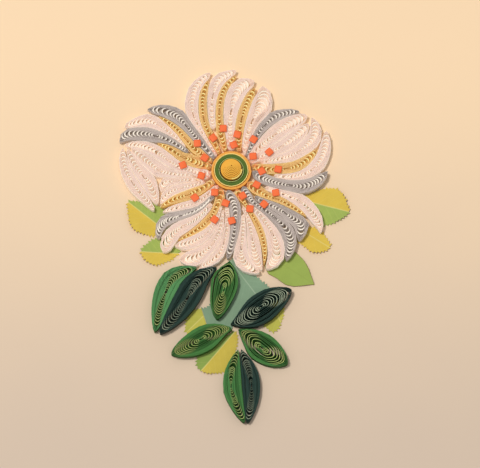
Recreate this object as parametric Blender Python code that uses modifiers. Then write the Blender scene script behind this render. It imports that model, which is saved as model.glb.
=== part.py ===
"""Quilled paper flower, lying flat on its back.

Strips of paper are wound into coils, and the coils are pinched into petals and leaves that stand
on their edges, side by side, around a centre of three round coils. Leaves cut from flat paper lie
under them, and small squares of red paper stand on dabs of glue as the stamens.

Tables give sizes and places in millimetres, with X to the right and Y towards the top of the
flower. The origin is on the back of the centre coil, and +Z points at the person looking at it.
"""

import math
from dataclasses import dataclass

import bmesh
import bpy
import numpy as np

MM = 0.001

# Clearances and paper
CLEARANCE = 0.3          # free space between two coils that stand side by side
STRIP_HEIGHT = 3.2       # width of the quilling strip, so the height of a coil
SHEET_THICKNESS = 0.3    # thickness of the flat cut leaves
WALL = 0.7               # packed turns left between a slot and the edge of a coil

# Round coils at the centre
DOME_RADIUS = 5.0
DOME_RIM = 4.6
DOME_RISE = 2.4          # how far the pushed-out cone of the yellow coil stands over its rim
DOME_STEPS = 4
GREEN_WALL = 2.1
GREEN_HEIGHT = 3.8
ORANGE_WALL = 1.3
GROOVE_DEPTH = 0.35
GROOVE_WIDTH = 0.3
CIRCLE_STEPS = 24

# Slots between the ends of the turns
SLOT_WIDTH = 0.75        # along the coil, at its middle
SLOT_SWEEP = 0.6         # how far a slot's wings run back, as a share of its reach
SLOT_REACH = 0.62        # how far a slot reaches from the middle to the edge, as a share
LEAST_REACH = 0.55       # a coil too narrow for this gets no slot there

# Stamens
STAMEN_SIDE = 3.2
STAMEN_THICKNESS = 0.3
DAB_SIDE = 1.1
DAB_DRIFT = 0.9          # how far a dab may sit from the middle of its square
STAMEN_TURN = 37.0       # degrees from one stamen to the next

# Teeth of the cut leaves
TOOTH_PITCH = 4.0
TOOTH_DEPTH = 0.7
TOOTH_LEAN = 0.7         # where a tooth's tip stands, as a share of its pitch
CUT_SAMPLES = 8          # samples between two points of a cut outline

# Shape and fineness of the outlines
TIP_BLUNTNESS = 0.75     # lower gives a rounder tip
END_POINT = 0.015        # share of its length that a coil's pinched end adds to its last ray
HEADING_STEP = 0.03      # share of its length over which a coil's direction is taken
PATH_SAMPLES = 40
SPLINE_STEPS = 12
EDGE_STEPS = 30
PETAL_STATIONS = (0.0, 0.1, 0.22, 0.36, 0.5, 0.64, 0.77, 0.88, 0.96)
LEAF_STATIONS = (0.0, 0.07, 0.17, 0.3, 0.42, 0.54, 0.66, 0.78, 0.9, 0.965)
PETAL_SLOTS = (0.4, 0.52, 0.64, 0.76, 0.87)
LEAF_SLOTS = (0.17, 0.26, 0.35, 0.44, 0.54, 0.64, 0.74, 0.84)
SETTLE_ROUNDS = 60
SETTLE_STEP = 0.06
LEAST_HALF_WIDTH = 0.25
LEAST_REACH_LEFT = 0.05  # corners are drawn in no further than this

SEAT = SHEET_THICKNESS + CLEARANCE
STAMEN_LIFT = SEAT + CLEARANCE
GREEN_INNER = DOME_RADIUS + CLEARANCE
ORANGE_INNER = GREEN_INNER + GREEN_WALL + CLEARANCE
RING_RADIUS = ORANGE_INNER + ORANGE_WALL

PAPERS = {
    "white": ((0.83, 0.64, 0.57), 0.75),
    "orange": ((0.78, 0.47, 0.16), 0.7),
    "grey": ((0.42, 0.38, 0.36), 0.7),
    "leaf_light": ((0.06, 0.24, 0.06), 0.65),
    "leaf_mid": ((0.03, 0.16, 0.03), 0.65),
    "leaf_dark": ((0.012, 0.05, 0.025), 0.6),
    "cut_yellow": ((0.62, 0.48, 0.06), 0.8),
    "cut_green": ((0.3, 0.42, 0.1), 0.8),
    "cut_teal": ((0.22, 0.36, 0.24), 0.8),
    "dome": ((0.75, 0.42, 0.04), 0.6),
    "ring_green": ((0.07, 0.16, 0.02), 0.6),
    "ring_orange": ((0.72, 0.33, 0.07), 0.65),
}


@dataclass(frozen=True)
class Coil:
    """A coil pinched into a petal or a leaf: the line along its middle, and its widest width."""

    name: str
    paper: str
    width: float
    path: tuple
    belly: float = 0.6
    root: float = 0.45
    at_ring: bool = True


@dataclass(frozen=True)
class CutLeaf:
    """A leaf cut from flat paper: its outline from the tip round to the tip again."""

    name: str
    paper: str
    outline: tuple
    toothed: bool = True


TOP_PETALS = (
    Coil("petal_top_1_white", "white", 5.9,
         ((-8.8, 9.0), (-15.5, 21.4), (-17.5, 30.6), (-16.0, 38.4), (-9.2, 45.3))),
    Coil("petal_top_2_orange", "orange", 4.4,
         ((-6.8, 9.4), (-11.5, 20.0), (-12.5, 28.3), (-12.2, 35.2), (-10.4, 41.6))),
    Coil("petal_top_3_white", "white", 5.4,
         ((-7.9, 19.1), (-8.8, 27.4), (-8.1, 35.2), (-5.0, 42.1), (2.4, 46.2)), at_ring=False),
    Coil("petal_top_4_orange", "orange", 4.8,
         ((-2.2, 9.4), (-4.7, 21.4), (-5.0, 29.2), (-3.4, 36.6), (2.2, 43.9)), belly=0.45),
    Coil("petal_top_5_white", "white", 9.0,
         ((-0.5, 9.9), (-0.9, 21.4), (0.2, 30.6), (3.4, 38.0), (10.4, 41.4)), belly=0.68),
    Coil("petal_top_6_orange", "orange", 5.4,
         ((3.4, 9.0), (3.8, 20.0), (6.1, 29.2), (10.6, 38.3)), belly=0.5),
    Coil("petal_top_7_white", "white", 9.0,
         ((7.0, 8.1), (8.8, 19.1), (12.1, 27.4), (14.7, 33.6), (13.8, 39.0)), belly=0.7),
)

RIGHT_PETALS = (
    Coil("petal_right_1_grey", "grey", 4.7,
         ((8.3, 8.5), (11.5, 17.7), (17.8, 23.7), (24.1, 26.5), (30.4, 27.2))),
    Coil("petal_right_2_white", "white", 7.2,
         ((10.6, 7.1), (16.9, 14.0), (25.0, 20.9), (34.0, 25.4))),
    Coil("petal_right_3_white", "white", 6.8,
         ((12.4, 5.4), (21.4, 9.9), (29.0, 15.4), (34.8, 21.6))),
    Coil("petal_right_4_white", "white", 6.4,
         ((13.0, 3.9), (25.0, 6.2), (33.1, 10.8), (37.6, 17.3), (36.0, 24.6)), at_ring=False),
    Coil("petal_right_5_orange", "orange", 5.6,
         ((9.2, 1.9), (19.1, 0.6), (29.5, 1.8), (38.6, 9.6)), belly=0.5),
    Coil("petal_right_6_white", "white", 5.6,
         ((19.1, -2.8), (30.4, -2.5), (38.0, 2.1), (42.1, 9.9), (42.3, 18.4)), at_ring=False),
    Coil("petal_right_7_grey", "grey", 6.2,
         ((10.1, -1.6), (19.1, -5.8), (30.4, -7.6), (38.5, -5.3), (43.0, -0.6))),
)

BOTTOM_PETALS = (
    Coil("petal_bottom_1_white", "white", 5.9,
         ((15.1, -8.5), (23.6, -11.3), (32.6, -15.9), (38.5, -22.8), (39.8, -28.8)),
         at_ring=False),
    Coil("petal_bottom_2_orange", "orange", 5.2,
         ((8.4, -7.4), (14.6, -11.4), (22.7, -14.5), (33.2, -21.4)), belly=0.35),
    Coil("petal_bottom_3_grey", "grey", 7.4,
         ((10.3, -12.9), (19.1, -16.8), (26.8, -20.9), (31.2, -25.5), (30.2, -32.6)),
         at_ring=False),
    Coil("petal_bottom_4_grey", "grey", 6.6,
         ((6.3, -10.8), (9.5, -14.8), (17.4, -20.6), (24.1, -27.4), (26.3, -34.3),
          (24.5, -41.6))),
    Coil("petal_bottom_5_white", "white", 7.7,
         ((7.9, -15.9), (14.2, -22.3), (19.1, -31.5), (19.8, -39.8), (15.6, -45.6)),
         belly=0.66, at_ring=False),
    Coil("petal_bottom_6_orange", "orange", 3.8,
         ((2.6, -9.6), (8.3, -19.1), (12.8, -27.4), (14.9, -36.1), (14.6, -43.4)), belly=0.3,
         root=0.8),
    Coil("petal_bottom_7_white", "white", 5.9,
         ((5.6, -16.8), (7.9, -24.6), (9.7, -33.8), (11.0, -41.0), (13.6, -46.0)),
         belly=0.66, at_ring=False),
    Coil("petal_bottom_8_white", "white", 6.8,
         ((5.6, -20.5), (4.7, -29.2), (4.0, -37.0), (6.3, -43.3), (12.6, -47.3)),
         at_ring=False),
    Coil("petal_bottom_9_grey", "grey", 5.8,
         ((-1.4, -9.4), (1.6, -16.8), (2.5, -24.6), (1.1, -32.4), (-1.8, -40.7)), belly=0.5),
    Coil("petal_bottom_10_white", "white", 5.0,
         ((-2.3, -16.8), (-2.3, -27.8), (-4.7, -36.0), (-9.2, -41.6), (-14.4, -45.4)),
         at_ring=False),
    Coil("petal_bottom_11_white", "white", 7.8,
         ((-3.4, -18.2), (-5.6, -28.3), (-10.2, -35.8), (-16.2, -40.4), (-23.2, -40.8)),
         belly=0.7, at_ring=False),
    Coil("petal_bottom_12_white", "white", 5.9,
         ((-4.6, -16.6), (-7.9, -26.9), (-14.6, -32.4), (-25.2, -35.0)), at_ring=False),
    Coil("petal_bottom_13_orange", "orange", 4.4,
         ((-5.2, -9.6), (-6.6, -18.4), (-11.5, -24.2), (-18.2, -29.0), (-23.9, -32.4)),
         belly=0.4, root=0.6),
)

LEFT_PETALS = (
    Coil("petal_left_1_white", "white", 7.4,
         ((-9.2, -15.6), (-15.5, -22.2), (-23.2, -28.0), (-28.9, -34.4), (-29.4, -38.4)),
         belly=0.68, at_ring=False),
    Coil("petal_left_2_grey", "grey", 5.0,
         ((-8.2, -12.2), (-14.6, -18.6), (-22.7, -20.8), (-29.6, -23.4), (-32.4, -28.0),
          (-32.4, -32.0)), at_ring=False),
    Coil("petal_left_3_white", "white", 3.8,
         ((-7.0, -8.4), (-13.3, -14.2), (-21.4, -17.0), (-30.6, -19.4))),
    Coil("petal_left_4_orange", "orange", 4.4,
         ((-8.8, -6.0), (-19.1, -11.3), (-26.8, -13.8), (-31.4, -17.2)), belly=0.45),
    Coil("petal_left_5_white", "white", 5.0,
         ((-11.6, -5.6), (-21.4, -7.2), (-27.4, -10.3), (-31.6, -15.6)), at_ring=False),
    Coil("petal_left_6_white", "white", 5.4,
         ((-15.6, -4.4), (-22.7, -4.4), (-28.6, -5.0), (-31.2, -9.8)), at_ring=False),
    Coil("petal_left_7_white", "white", 4.9,
         ((-34.2, -18.4), (-42.3, -9.0), (-47.4, 0.7), (-48.4, 10.2)), root=0.2, belly=0.5,
         at_ring=False),
    Coil("petal_left_8_white", "white", 6.2,
         ((-32.8, -15.6), (-36.7, -5.8), (-42.4, 2.4), (-46.4, 9.8)), root=0.2, belly=0.45,
         at_ring=False),
    Coil("petal_left_9_white", "white", 7.6,
         ((-16.9, -2.2), (-27.2, -1.4), (-36.2, 3.9), (-44.6, 10.2)), belly=0.5, root=0.3,
         at_ring=False),
    Coil("petal_left_10_white", "white", 7.0,
         ((-9.6, -1.4), (-17.0, -1.0), (-24.8, 1.9), (-34.9, 9.4), (-47.4, 12.0)), belly=0.6),
)

UPPER_LEFT_PETALS = (
    Coil("petal_upper_1_orange", "orange", 5.6,
         ((-9.4, 1.6), (-19.1, 5.0), (-25.9, 9.6), (-33.0, 12.6)), belly=0.45),
    Coil("petal_upper_2_grey", "grey", 6.6,
         ((-19.1, 8.5), (-29.0, 14.2), (-39.4, 17.0), (-46.8, 16.4), (-49.6, 12.8)),
         at_ring=False),
    Coil("petal_upper_3_white", "white", 6.2,
         ((-20.4, 10.8), (-28.1, 18.4), (-37.1, 22.6), (-47.6, 20.2)), root=0.25, belly=0.62,
         at_ring=False),
    Coil("petal_upper_4_orange", "orange", 4.6,
         ((-8.6, 4.4), (-17.8, 11.4), (-24.5, 19.1), (-32.2, 24.9)), belly=0.45),
    Coil("petal_upper_5_grey", "grey", 7.0,
         ((-8.4, 6.4), (-15.6, 16.6), (-23.2, 24.2), (-30.4, 27.8), (-37.4, 28.2))),
)

LEAVES = (
    Coil("leaf_upper_pair_light_half", "leaf_light", 9.3,
         ((-15.3, -44.8), (-25.1, -48.5), (-29.3, -55.4), (-31.6, -63.0), (-33.9, -74.2)),
         belly=0.42, root=0.0, at_ring=False),
    Coil("leaf_upper_pair_dark_half", "leaf_dark", 11.0,
         ((-6.4, -44.8), (-11.7, -47.8), (-15.8, -52.4), (-20.5, -59.9), (-24.5, -65.8),
          (-31.6, -75.2)), belly=0.45, root=0.0, at_ring=False),
    Coil("leaf_middle", "leaf_mid", 11.6,
         ((-0.7, -41.9), (-1.2, -45.2), (-2.3, -49.5), (-3.4, -54.5), (-4.7, -59.3),
          (-6.3, -68.6)), belly=0.37, root=0.0, at_ring=False),
    Coil("leaf_right_dark", "leaf_dark", 13.4,
         ((-0.2, -70.8), (4.0, -69.3), (9.2, -66.5), (13.8, -63.3), (18.2, -60.0),
          (26.9, -55.0)), belly=0.48, root=0.0, at_ring=False),
    Coil("leaf_left_mid", "leaf_mid", 11.6,
         ((0.4, -73.0), (-3.1, -73.4), (-7.6, -75.0), (-12.1, -77.4), (-17.2, -80.3),
          (-26.6, -84.6)), belly=0.47, root=0.0, at_ring=False),
    Coil("leaf_right_mid", "leaf_mid", 12.8,
         ((3.2, -73.2), (5.8, -75.3), (9.5, -77.8), (12.9, -80.6), (17.3, -84.0),
          (25.1, -88.9)), belly=0.52, root=0.0, at_ring=False),
    Coil("leaf_lower_pair_light_half", "leaf_light", 8.2,
         ((3.1, -82.5), (1.6, -87.2), (0.7, -92.2), (0.5, -97.3), (0.9, -102.1),
          (5.7, -115.8)), belly=0.46, root=0.0, at_ring=False),
    Coil("leaf_lower_pair_dark_half", "leaf_dark", 8.2,
         ((4.4, -82.3), (6.7, -89.0), (8.1, -93.6), (8.7, -98.7), (8.7, -103.7), (7.3, -115.8)),
         belly=0.46, root=0.0, at_ring=False),
)

CUT_LEAVES = (
    CutLeaf("cut_leaf_left_upper", "cut_green",
            ((-45.6, -14.0), (-40.7, -13.9), (-34.4, -15.0), (-27.2, -20.5), (-25.4, -26.0),
             (-29.9, -28.8), (-37.7, -28.8), (-43.9, -25.5), (-45.6, -18.6))),
    CutLeaf("cut_leaf_left_lower", "cut_green",
            ((-39.9, -36.9), (-36.7, -32.9), (-33.3, -31.2), (-28.1, -31.5), (-22.7, -34.7),
             (-24.1, -38.0), (-29.5, -41.6), (-36.2, -42.3))),
    CutLeaf("cut_leaf_right_upper", "cut_yellow",
            ((52.3, -18.5), (50.6, -13.4), (48.8, -9.9), (44.8, -7.8), (37.8, -9.2),
             (33.1, -11.3), (28.6, -13.6), (30.4, -17.5), (35.8, -21.5), (42.0, -24.3),
             (48.2, -21.9))),
    CutLeaf("cut_leaf_right_lower", "cut_yellow",
            ((43.7, -34.9), (41.6, -29.6), (38.5, -26.9), (33.5, -25.4), (28.5, -26.8),
             (28.5, -31.0), (32.0, -33.4), (37.2, -37.3))),
    CutLeaf("cut_leaf_plain", "cut_green",
            ((36.9, -51.9), (34.4, -44.7), (32.0, -40.5), (28.9, -37.3), (25.0, -34.6),
             (20.0, -36.1), (15.1, -41.6), (16.2, -46.6), (19.3, -48.5), (24.4, -52.1),
             (28.9, -52.8)), toothed=False),
    CutLeaf("cut_leaf_teal", "cut_teal",
            ((2.0, -39.8), (6.5, -44.4), (10.0, -47.5), (16.7, -53.6), (21.4, -58.2),
             (23.2, -63.3), (22.4, -67.4), (19.5, -73.6), (15.6, -71.2), (10.1, -69.4),
             (3.4, -70.3), (-3.4, -71.8), (-12.4, -73.6), (-19.8, -74.0), (-19.0, -67.4),
             (-16.4, -63.9), (-9.2, -61.9), (-7.0, -54.5), (-4.7, -46.2))),
    CutLeaf("cut_leaf_bottom", "cut_green",
            ((1.7, -73.6), (-4.7, -77.5), (-11.0, -81.2), (-14.4, -84.8), (-13.9, -91.2),
             (-5.6, -92.2), (0.6, -88.8), (1.6, -82.4), (2.5, -77.6))),
)

STAMENS = (
    (-3.6, 19.1), (-8.1, 14.7), (2.7, 16.3), (1.1, 11.5), (9.9, 14.0), (9.7, 6.2), (16.9, 8.1),
    (20.9, 0.2), (13.5, -0.7), (11.3, -7.1), (19.8, -10.8), (14.6, -16.1), (8.3, -18.2),
    (5.0, -12.2), (-2.5, -15.4), (0.2, -23.5), (-7.4, -23.2), (-7.4, -10.6), (-16.2, -13.1),
    (-13.3, -2.8), (-21.6, 2.1), (-11.9, 5.5), (-15.1, 12.2),
)


def smooth_path(points, count):
    """Return count points, evenly spaced, on a smooth curve through the points given."""
    ends = [2 * points[0] - points[1]] + list(points) + [2 * points[-1] - points[-2]]
    fine = []
    for a, b, c, d in zip(ends, ends[1:], ends[2:], ends[3:]):
        for t in np.linspace(0.0, 1.0, SPLINE_STEPS, endpoint=False):
            fine.append(0.5 * (2 * b + (c - a) * t + (2 * a - 5 * b + 4 * c - d) * t ** 2
                               + (3 * b - a - 3 * c + d) * t ** 3))
    fine.append(points[-1])
    fine = np.array(fine)
    along = np.concatenate(([0.0], np.cumsum(np.linalg.norm(np.diff(fine, axis=0), axis=1))))
    wanted = np.linspace(0.0, along[-1], count)
    return np.column_stack([np.interp(wanted, along, fine[:, axis]) for axis in (0, 1)])


class PinchedCoil:
    """The outline of one pinched coil: rays from its middle line, each with its own reach."""

    def __init__(self, coil):
        self.coil = coil
        points = [np.array(point) for point in coil.path]
        from_centre = np.linalg.norm(points[0])
        if coil.at_ring or from_centre < RING_RADIUS + CLEARANCE:
            points[0] *= (RING_RADIUS + CLEARANCE) / from_centre
        self.middle = smooth_path(points, PATH_SAMPLES)
        self.half = np.array([self.half_width(s) for s in np.linspace(0, 1, PATH_SAMPLES)])
        self.rays = []

    def half_width(self, share):
        """Return the untrimmed half width at a share of the way from root to tip."""
        coil = self.coil
        if share < coil.belly:
            swell = math.sin(math.pi / 2 * share / coil.belly)
            shape = coil.root + (1 - coil.root) * swell
        else:
            beyond = (share - coil.belly) / (1 - coil.belly)
            shape = (1 - beyond ** 2) ** TIP_BLUNTNESS
        return max(coil.width / 2 * shape, LEAST_HALF_WIDTH)

    def point(self, share):
        """Return the point of the middle line at a share of its length."""
        place = share * (PATH_SAMPLES - 1)
        low = min(int(place), PATH_SAMPLES - 2)
        return self.middle[low] + (place - low) * (self.middle[low + 1] - self.middle[low])

    def heading(self, share):
        """Return the unit direction of the middle line, towards the tip."""
        step = (self.point(min(share + HEADING_STEP, 1.0))
                - self.point(max(share - HEADING_STEP, 0.0)))
        return step / np.linalg.norm(step)

    def claim(self, spots):
        """Return how far each spot is from the middle line, as a share of the width there."""
        apart = np.linalg.norm(spots[:, None, :] - self.middle[None, :, :], axis=2)
        return (apart / self.half[None, :]).min(axis=1)

    def cast(self, others):
        """Lay the rays of the outline, each trimmed where a neighbour's claim is stronger."""
        sharp_root = self.coil.root == 0.0
        stations = LEAF_STATIONS if sharp_root else PETAL_STATIONS
        sides = {1.0: [], -1.0: []}
        for share in stations[1:] if sharp_root else stations:
            start = self.point(share)
            ahead = self.heading(share)
            for side in sides:
                away = side * np.array((-ahead[1], ahead[0]))
                sides[side].append([start, away, self.reach(start, away, share, others), share])
        end = END_POINT * self.length()
        tip = [self.point(1 - END_POINT), self.heading(1.0), end, 1.0]
        root = [self.point(END_POINT), -self.heading(0.0), end, 0.0]
        self.rays = sides[1.0] + [tip] + sides[-1.0][::-1] + ([root] if sharp_root else [])

    def length(self):
        """Return the length of the middle line."""
        return float(np.linalg.norm(np.diff(self.middle, axis=0), axis=1).sum())

    def reach(self, start, away, share, others):
        """Return how far a ray runs before the edge of the coil or of a neighbour's share."""
        steps = np.linspace(0.0, self.half_width(share), EDGE_STEPS)
        spots = start + steps[:, None] * away
        own = self.claim(spots)
        rival = np.min([other.claim(spots) for other in others], axis=0) if others else own + 1
        in_ring = np.linalg.norm(spots, axis=1) < RING_RADIUS + CLEARANCE / 2
        lost = np.nonzero((rival < own) | in_ring)[0]
        free = steps[lost[0]] - CLEARANCE / 2 if len(lost) else steps[-1]
        return max(free, LEAST_HALF_WIDTH)

    def outline(self):
        """Return the corners of the outline."""
        return np.array([start + reach * away for start, away, reach, _ in self.rays])

    def shrink(self, index):
        """Draw one corner of the outline in by a small step."""
        ray = self.rays[index]
        ray[2] = max(ray[2] - SETTLE_STEP, LEAST_REACH_LEFT)

    def side_reach(self, share):
        """Return how far the outline reaches to either side at a share of the length."""
        found = []
        for side in (1.0, -1.0):
            ahead = self.heading(share)
            known = []
            for start, away, reach, at in self.rays:
                if 0.0 < at < 1.0 and side * (ahead[0] * away[1] - ahead[1] * away[0]) > 0:
                    known.append((at, reach))
            known.sort()
            found.append(float(np.interp(share, [k[0] for k in known], [k[1] for k in known])))
        return found

    def slots(self):
        """Return the slots left between the ends of the turns, each as four corners."""
        cut = []
        for share in LEAF_SLOTS if self.coil.root == 0.0 else PETAL_SLOTS:
            ahead = self.heading(share)
            across = np.array((-ahead[1], ahead[0]))
            widest = max(self.side_reach(share)) * SLOT_REACH
            behind = max(share - SLOT_SWEEP * widest / self.length(), 0.0)
            left, right = [min(SLOT_REACH * here, here - WALL, there - WALL) for here, there
                           in zip(self.side_reach(share), self.side_reach(behind))]
            if min(left, right) < LEAST_REACH:
                continue
            nose = self.point(share)
            cut.append([nose,
                        nose + left * (across - SLOT_SWEEP * ahead),
                        nose - SLOT_WIDTH * ahead,
                        nose - right * (across + SLOT_SWEEP * ahead)])
        return cut


def distances(spots, outline):
    """Return the distance from each spot to each side of an outline."""
    start = outline
    run = np.roll(outline, -1, axis=0) - start
    offset = spots[:, None, :] - start[None, :, :]
    along = np.clip((offset * run).sum(axis=2) / (run ** 2).sum(axis=1), 0.0, 1.0)
    return np.linalg.norm(offset - along[:, :, None] * run[None, :, :], axis=2)


def inside(spots, outline):
    """Return which spots lie inside an outline."""
    x, y = spots[:, 0][:, None], spots[:, 1][:, None]
    x1, y1 = outline[:, 0][None, :], outline[:, 1][None, :]
    x2, y2 = np.roll(outline, -1, axis=0).T
    spans = (y1 > y) != (y2 > y)
    rise = np.where(y2 == y1, 1.0, y2 - y1)
    crossing = spans & (x < x1 + (y - y1) * (x2 - x1) / rise)
    return crossing.sum(axis=1) % 2 == 1


def boxes_meet(one, other, margin):
    """Return whether the boxes round two outlines come within a margin of each other."""
    low = np.maximum(one.min(axis=0), other.min(axis=0))
    high = np.minimum(one.max(axis=0), other.max(axis=0))
    return bool(np.all(low - high < margin))


def settle(coils):
    """Draw corners in until every two coils stand clear of each other."""
    for _ in range(SETTLE_ROUNDS):
        moved = False
        outlines = [coil.outline() for coil in coils]
        for i, one in enumerate(coils):
            for j, other in enumerate(coils):
                if i == j or not boxes_meet(outlines[i], outlines[j], CLEARANCE):
                    continue
                apart = distances(outlines[i], outlines[j])
                within = inside(outlines[i], outlines[j])
                for index in np.nonzero((apart.min(axis=1) < CLEARANCE) | within)[0]:
                    one.shrink(index)
                    side = int(apart[index].argmin())
                    other.shrink(side)
                    other.shrink((side + 1) % len(outlines[j]))
                    moved = True
        if not moved:
            break


def pinched_coils(designs):
    """Return the coils of every design, each trimmed to fit between its neighbours."""
    coils = [PinchedCoil(design) for design in designs]
    for coil in coils:
        near = [other for other in coils if other is not coil
                and boxes_meet(coil.middle, other.middle, coil.coil.width + other.coil.width)]
        coil.cast(near)
    settle(coils)
    return coils


def paper(name):
    """Return the material of one colour of paper."""
    found = bpy.data.materials.get(name)
    if found:
        return found
    colour, roughness = PAPERS[name]
    made = bpy.data.materials.new(name)
    made.use_nodes = True
    shader = made.node_tree.nodes["Principled BSDF"]
    shader.inputs["Base Color"].default_value = (*colour, 1.0)
    shader.inputs["Roughness"].default_value = roughness
    shader.inputs["Metallic"].default_value = 0.0
    return made


def plate(name, loops, bottom, height, colour, collection):
    """Stand a flat outline, with the holes inside it, up from bottom by height."""
    curve = bpy.data.curves.new(name, "CURVE")
    curve.dimensions = "2D"
    curve.fill_mode = "BOTH"
    curve.extrude = height / 2 * MM
    for loop in loops:
        spline = curve.splines.new("POLY")
        spline.points.add(len(loop) - 1)
        for point, (x, y) in zip(spline.points, loop):
            point.co = (x * MM, y * MM, 0.0, 1.0)
        spline.use_cyclic_u = True
    curve.materials.append(paper(colour))
    made = bpy.data.objects.new(name, curve)
    made.location.z = (bottom + height / 2) * MM
    collection.objects.link(made)
    return made


def as_mesh(curve_object, collection):
    """Replace a curve object by a closed mesh, so that solids can be joined to it."""
    bpy.context.view_layer.update()
    name = curve_object.name
    evaluated = curve_object.evaluated_get(bpy.context.evaluated_depsgraph_get())
    mesh = bpy.data.meshes.new_from_object(evaluated)
    place = curve_object.matrix_world.copy()
    bpy.data.objects.remove(curve_object)
    weld(mesh)
    made = bpy.data.objects.new(name, mesh)
    made.matrix_world = place
    collection.objects.link(made)
    return made


def weld(mesh):
    """Join the loose caps of a mesh to its sides."""
    work = bmesh.new()
    work.from_mesh(mesh)
    bmesh.ops.remove_doubles(work, verts=work.verts, dist=0.00001)
    work.to_mesh(mesh)
    work.free()


def block(name, centre, side, bottom, height, turn, collection):
    """Return a square block that a Boolean modifier adds to its carrier."""
    bpy.ops.mesh.primitive_cube_add(size=1.0)
    made = bpy.context.active_object
    made.name = name
    made.scale = (side * MM, side * MM, height * MM)
    made.location = (centre[0] * MM, centre[1] * MM, (bottom + height / 2) * MM)
    made.rotation_euler.z = math.radians(turn)
    made.hide_render = True
    made.display_type = "WIRE"
    for home in made.users_collection:
        home.objects.unlink(made)
    collection.objects.link(made)
    return made


def join(carrier, added):
    """Join a block to its carrier."""
    union = carrier.modifiers.new(added.name, "BOOLEAN")
    union.operation = "UNION"
    union.solver = "EXACT"
    union.object = added


def add_stamen(number, spot, carrier, coil, top, cutters):
    """Stand one stamen on its dab of glue, on the petal that carries it."""
    spot = np.array(spot)
    nearest = coil.middle[np.linalg.norm(coil.middle - spot, axis=1).argmin()]
    drift = nearest - spot
    drift *= min(1.0, DAB_DRIFT / max(np.linalg.norm(drift), 1e-6))
    turn = number * STAMEN_TURN
    sunk = STRIP_HEIGHT / 4
    dab_height = sunk + STAMEN_LIFT + STAMEN_THICKNESS / 2
    dab = block(f"dab_{number}", spot + drift, DAB_SIDE, top - sunk, dab_height, turn, cutters)
    square = block(f"stamen_{number}", spot, STAMEN_SIDE, top + STAMEN_LIFT, STAMEN_THICKNESS,
                   turn, cutters)
    join(carrier, dab)
    join(carrier, square)


def cut_outline(leaf):
    """Return the outline of a cut leaf, smooth or toothed."""
    points = [np.array(point) for point in leaf.outline]
    smooth = smooth_path(points + points[:1], CUT_SAMPLES * len(points) + 1)
    length = np.linalg.norm(np.diff(smooth, axis=0), axis=1).sum()
    count = max(int(length / TOOTH_PITCH), len(points))
    along = np.linspace(0.0, 1.0, len(smooth))
    turning = np.sign(np.cross(smooth[:-1], smooth[1:]).sum())
    corners = []
    for tooth in range(count):
        root, tip = tooth / count, (tooth + TOOTH_LEAN) / count
        for share, out in ((root, 0.0), (tip, TOOTH_DEPTH if leaf.toothed else 0.0)):
            here = np.array([np.interp(share, along, smooth[:, axis]) for axis in (0, 1)])
            ahead = np.array([np.interp(share + 0.01, along, smooth[:, axis])
                              for axis in (0, 1)]) - here
            ahead /= max(np.linalg.norm(ahead), 1e-6)
            corners.append(here + turning * out * np.array((ahead[1], -ahead[0])))
    return np.array(corners)


def turned(name, profile, colour, collection):
    """Turn a closed profile of radius and height about the upright axis."""
    mesh = bpy.data.meshes.new(name)
    verts = [(radius * MM, 0.0, height * MM) for radius, height in profile]
    closed = profile[0][0] > 0.0 and profile[-1][0] > 0.0
    edges = [(i, i + 1) for i in range(len(verts) - 1)]
    if closed:
        edges.append((len(verts) - 1, 0))
    mesh.from_pydata(verts, edges, [])
    made = bpy.data.objects.new(name, mesh)
    collection.objects.link(made)
    mesh.materials.append(paper(colour))
    screw = made.modifiers.new("turn", "SCREW")
    screw.steps = CIRCLE_STEPS
    screw.render_steps = CIRCLE_STEPS
    screw.use_merge_vertices = True
    screw.merge_threshold = 0.00001
    return made


def coil_ring(name, inner, wall, height, grooves, colour, collection):
    """Make a round coil open at its middle, its turns shown by grooves in its top."""
    outer = inner + wall
    profile = [(outer, height), (outer, 0.0), (inner, 0.0), (inner, height)]
    for groove in range(grooves):
        at = inner + wall * (groove + 0.75) / (grooves + 0.5)
        profile += [(at - GROOVE_WIDTH / 2, height), (at, height - GROOVE_DEPTH),
                    (at + GROOVE_WIDTH / 2, height)]
    return turned(name, profile, colour, collection)


def domed_coil(collection):
    """Make the tight yellow coil, its middle pushed out into a low cone of turns."""
    profile = [(0.0, DOME_RIM + DOME_RISE)]
    for step in range(1, DOME_STEPS + 1):
        share = step / (DOME_STEPS + 1)
        radius = DOME_RADIUS * share
        height = DOME_RIM + DOME_RISE * (1 - share ** 2)
        profile += [(radius, height), (radius + GROOVE_WIDTH / 2, height - GROOVE_DEPTH)]
    profile += [(DOME_RADIUS, DOME_RIM + GROOVE_DEPTH), (DOME_RADIUS, 0.0), (0.0, 0.0)]
    return turned("centre_dome_yellow", profile, "dome", collection)


def empty_scene():
    """Remove whatever the file holds."""
    for thing in list(bpy.data.objects):
        bpy.data.objects.remove(thing, do_unlink=True)


def new_collection(name):
    """Return a new collection linked to the scene."""
    made = bpy.data.collections.new(name)
    bpy.context.scene.collection.children.link(made)
    return made


def overlaps(outline, leaves):
    """Return whether an outline lies over any cut leaf."""
    for leaf in leaves:
        if not boxes_meet(outline, leaf, CLEARANCE):
            continue
        if inside(outline, leaf).any() or inside(leaf, outline).any():
            return True
        if distances(outline, leaf).min() < CLEARANCE:
            return True
    return False


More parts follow.
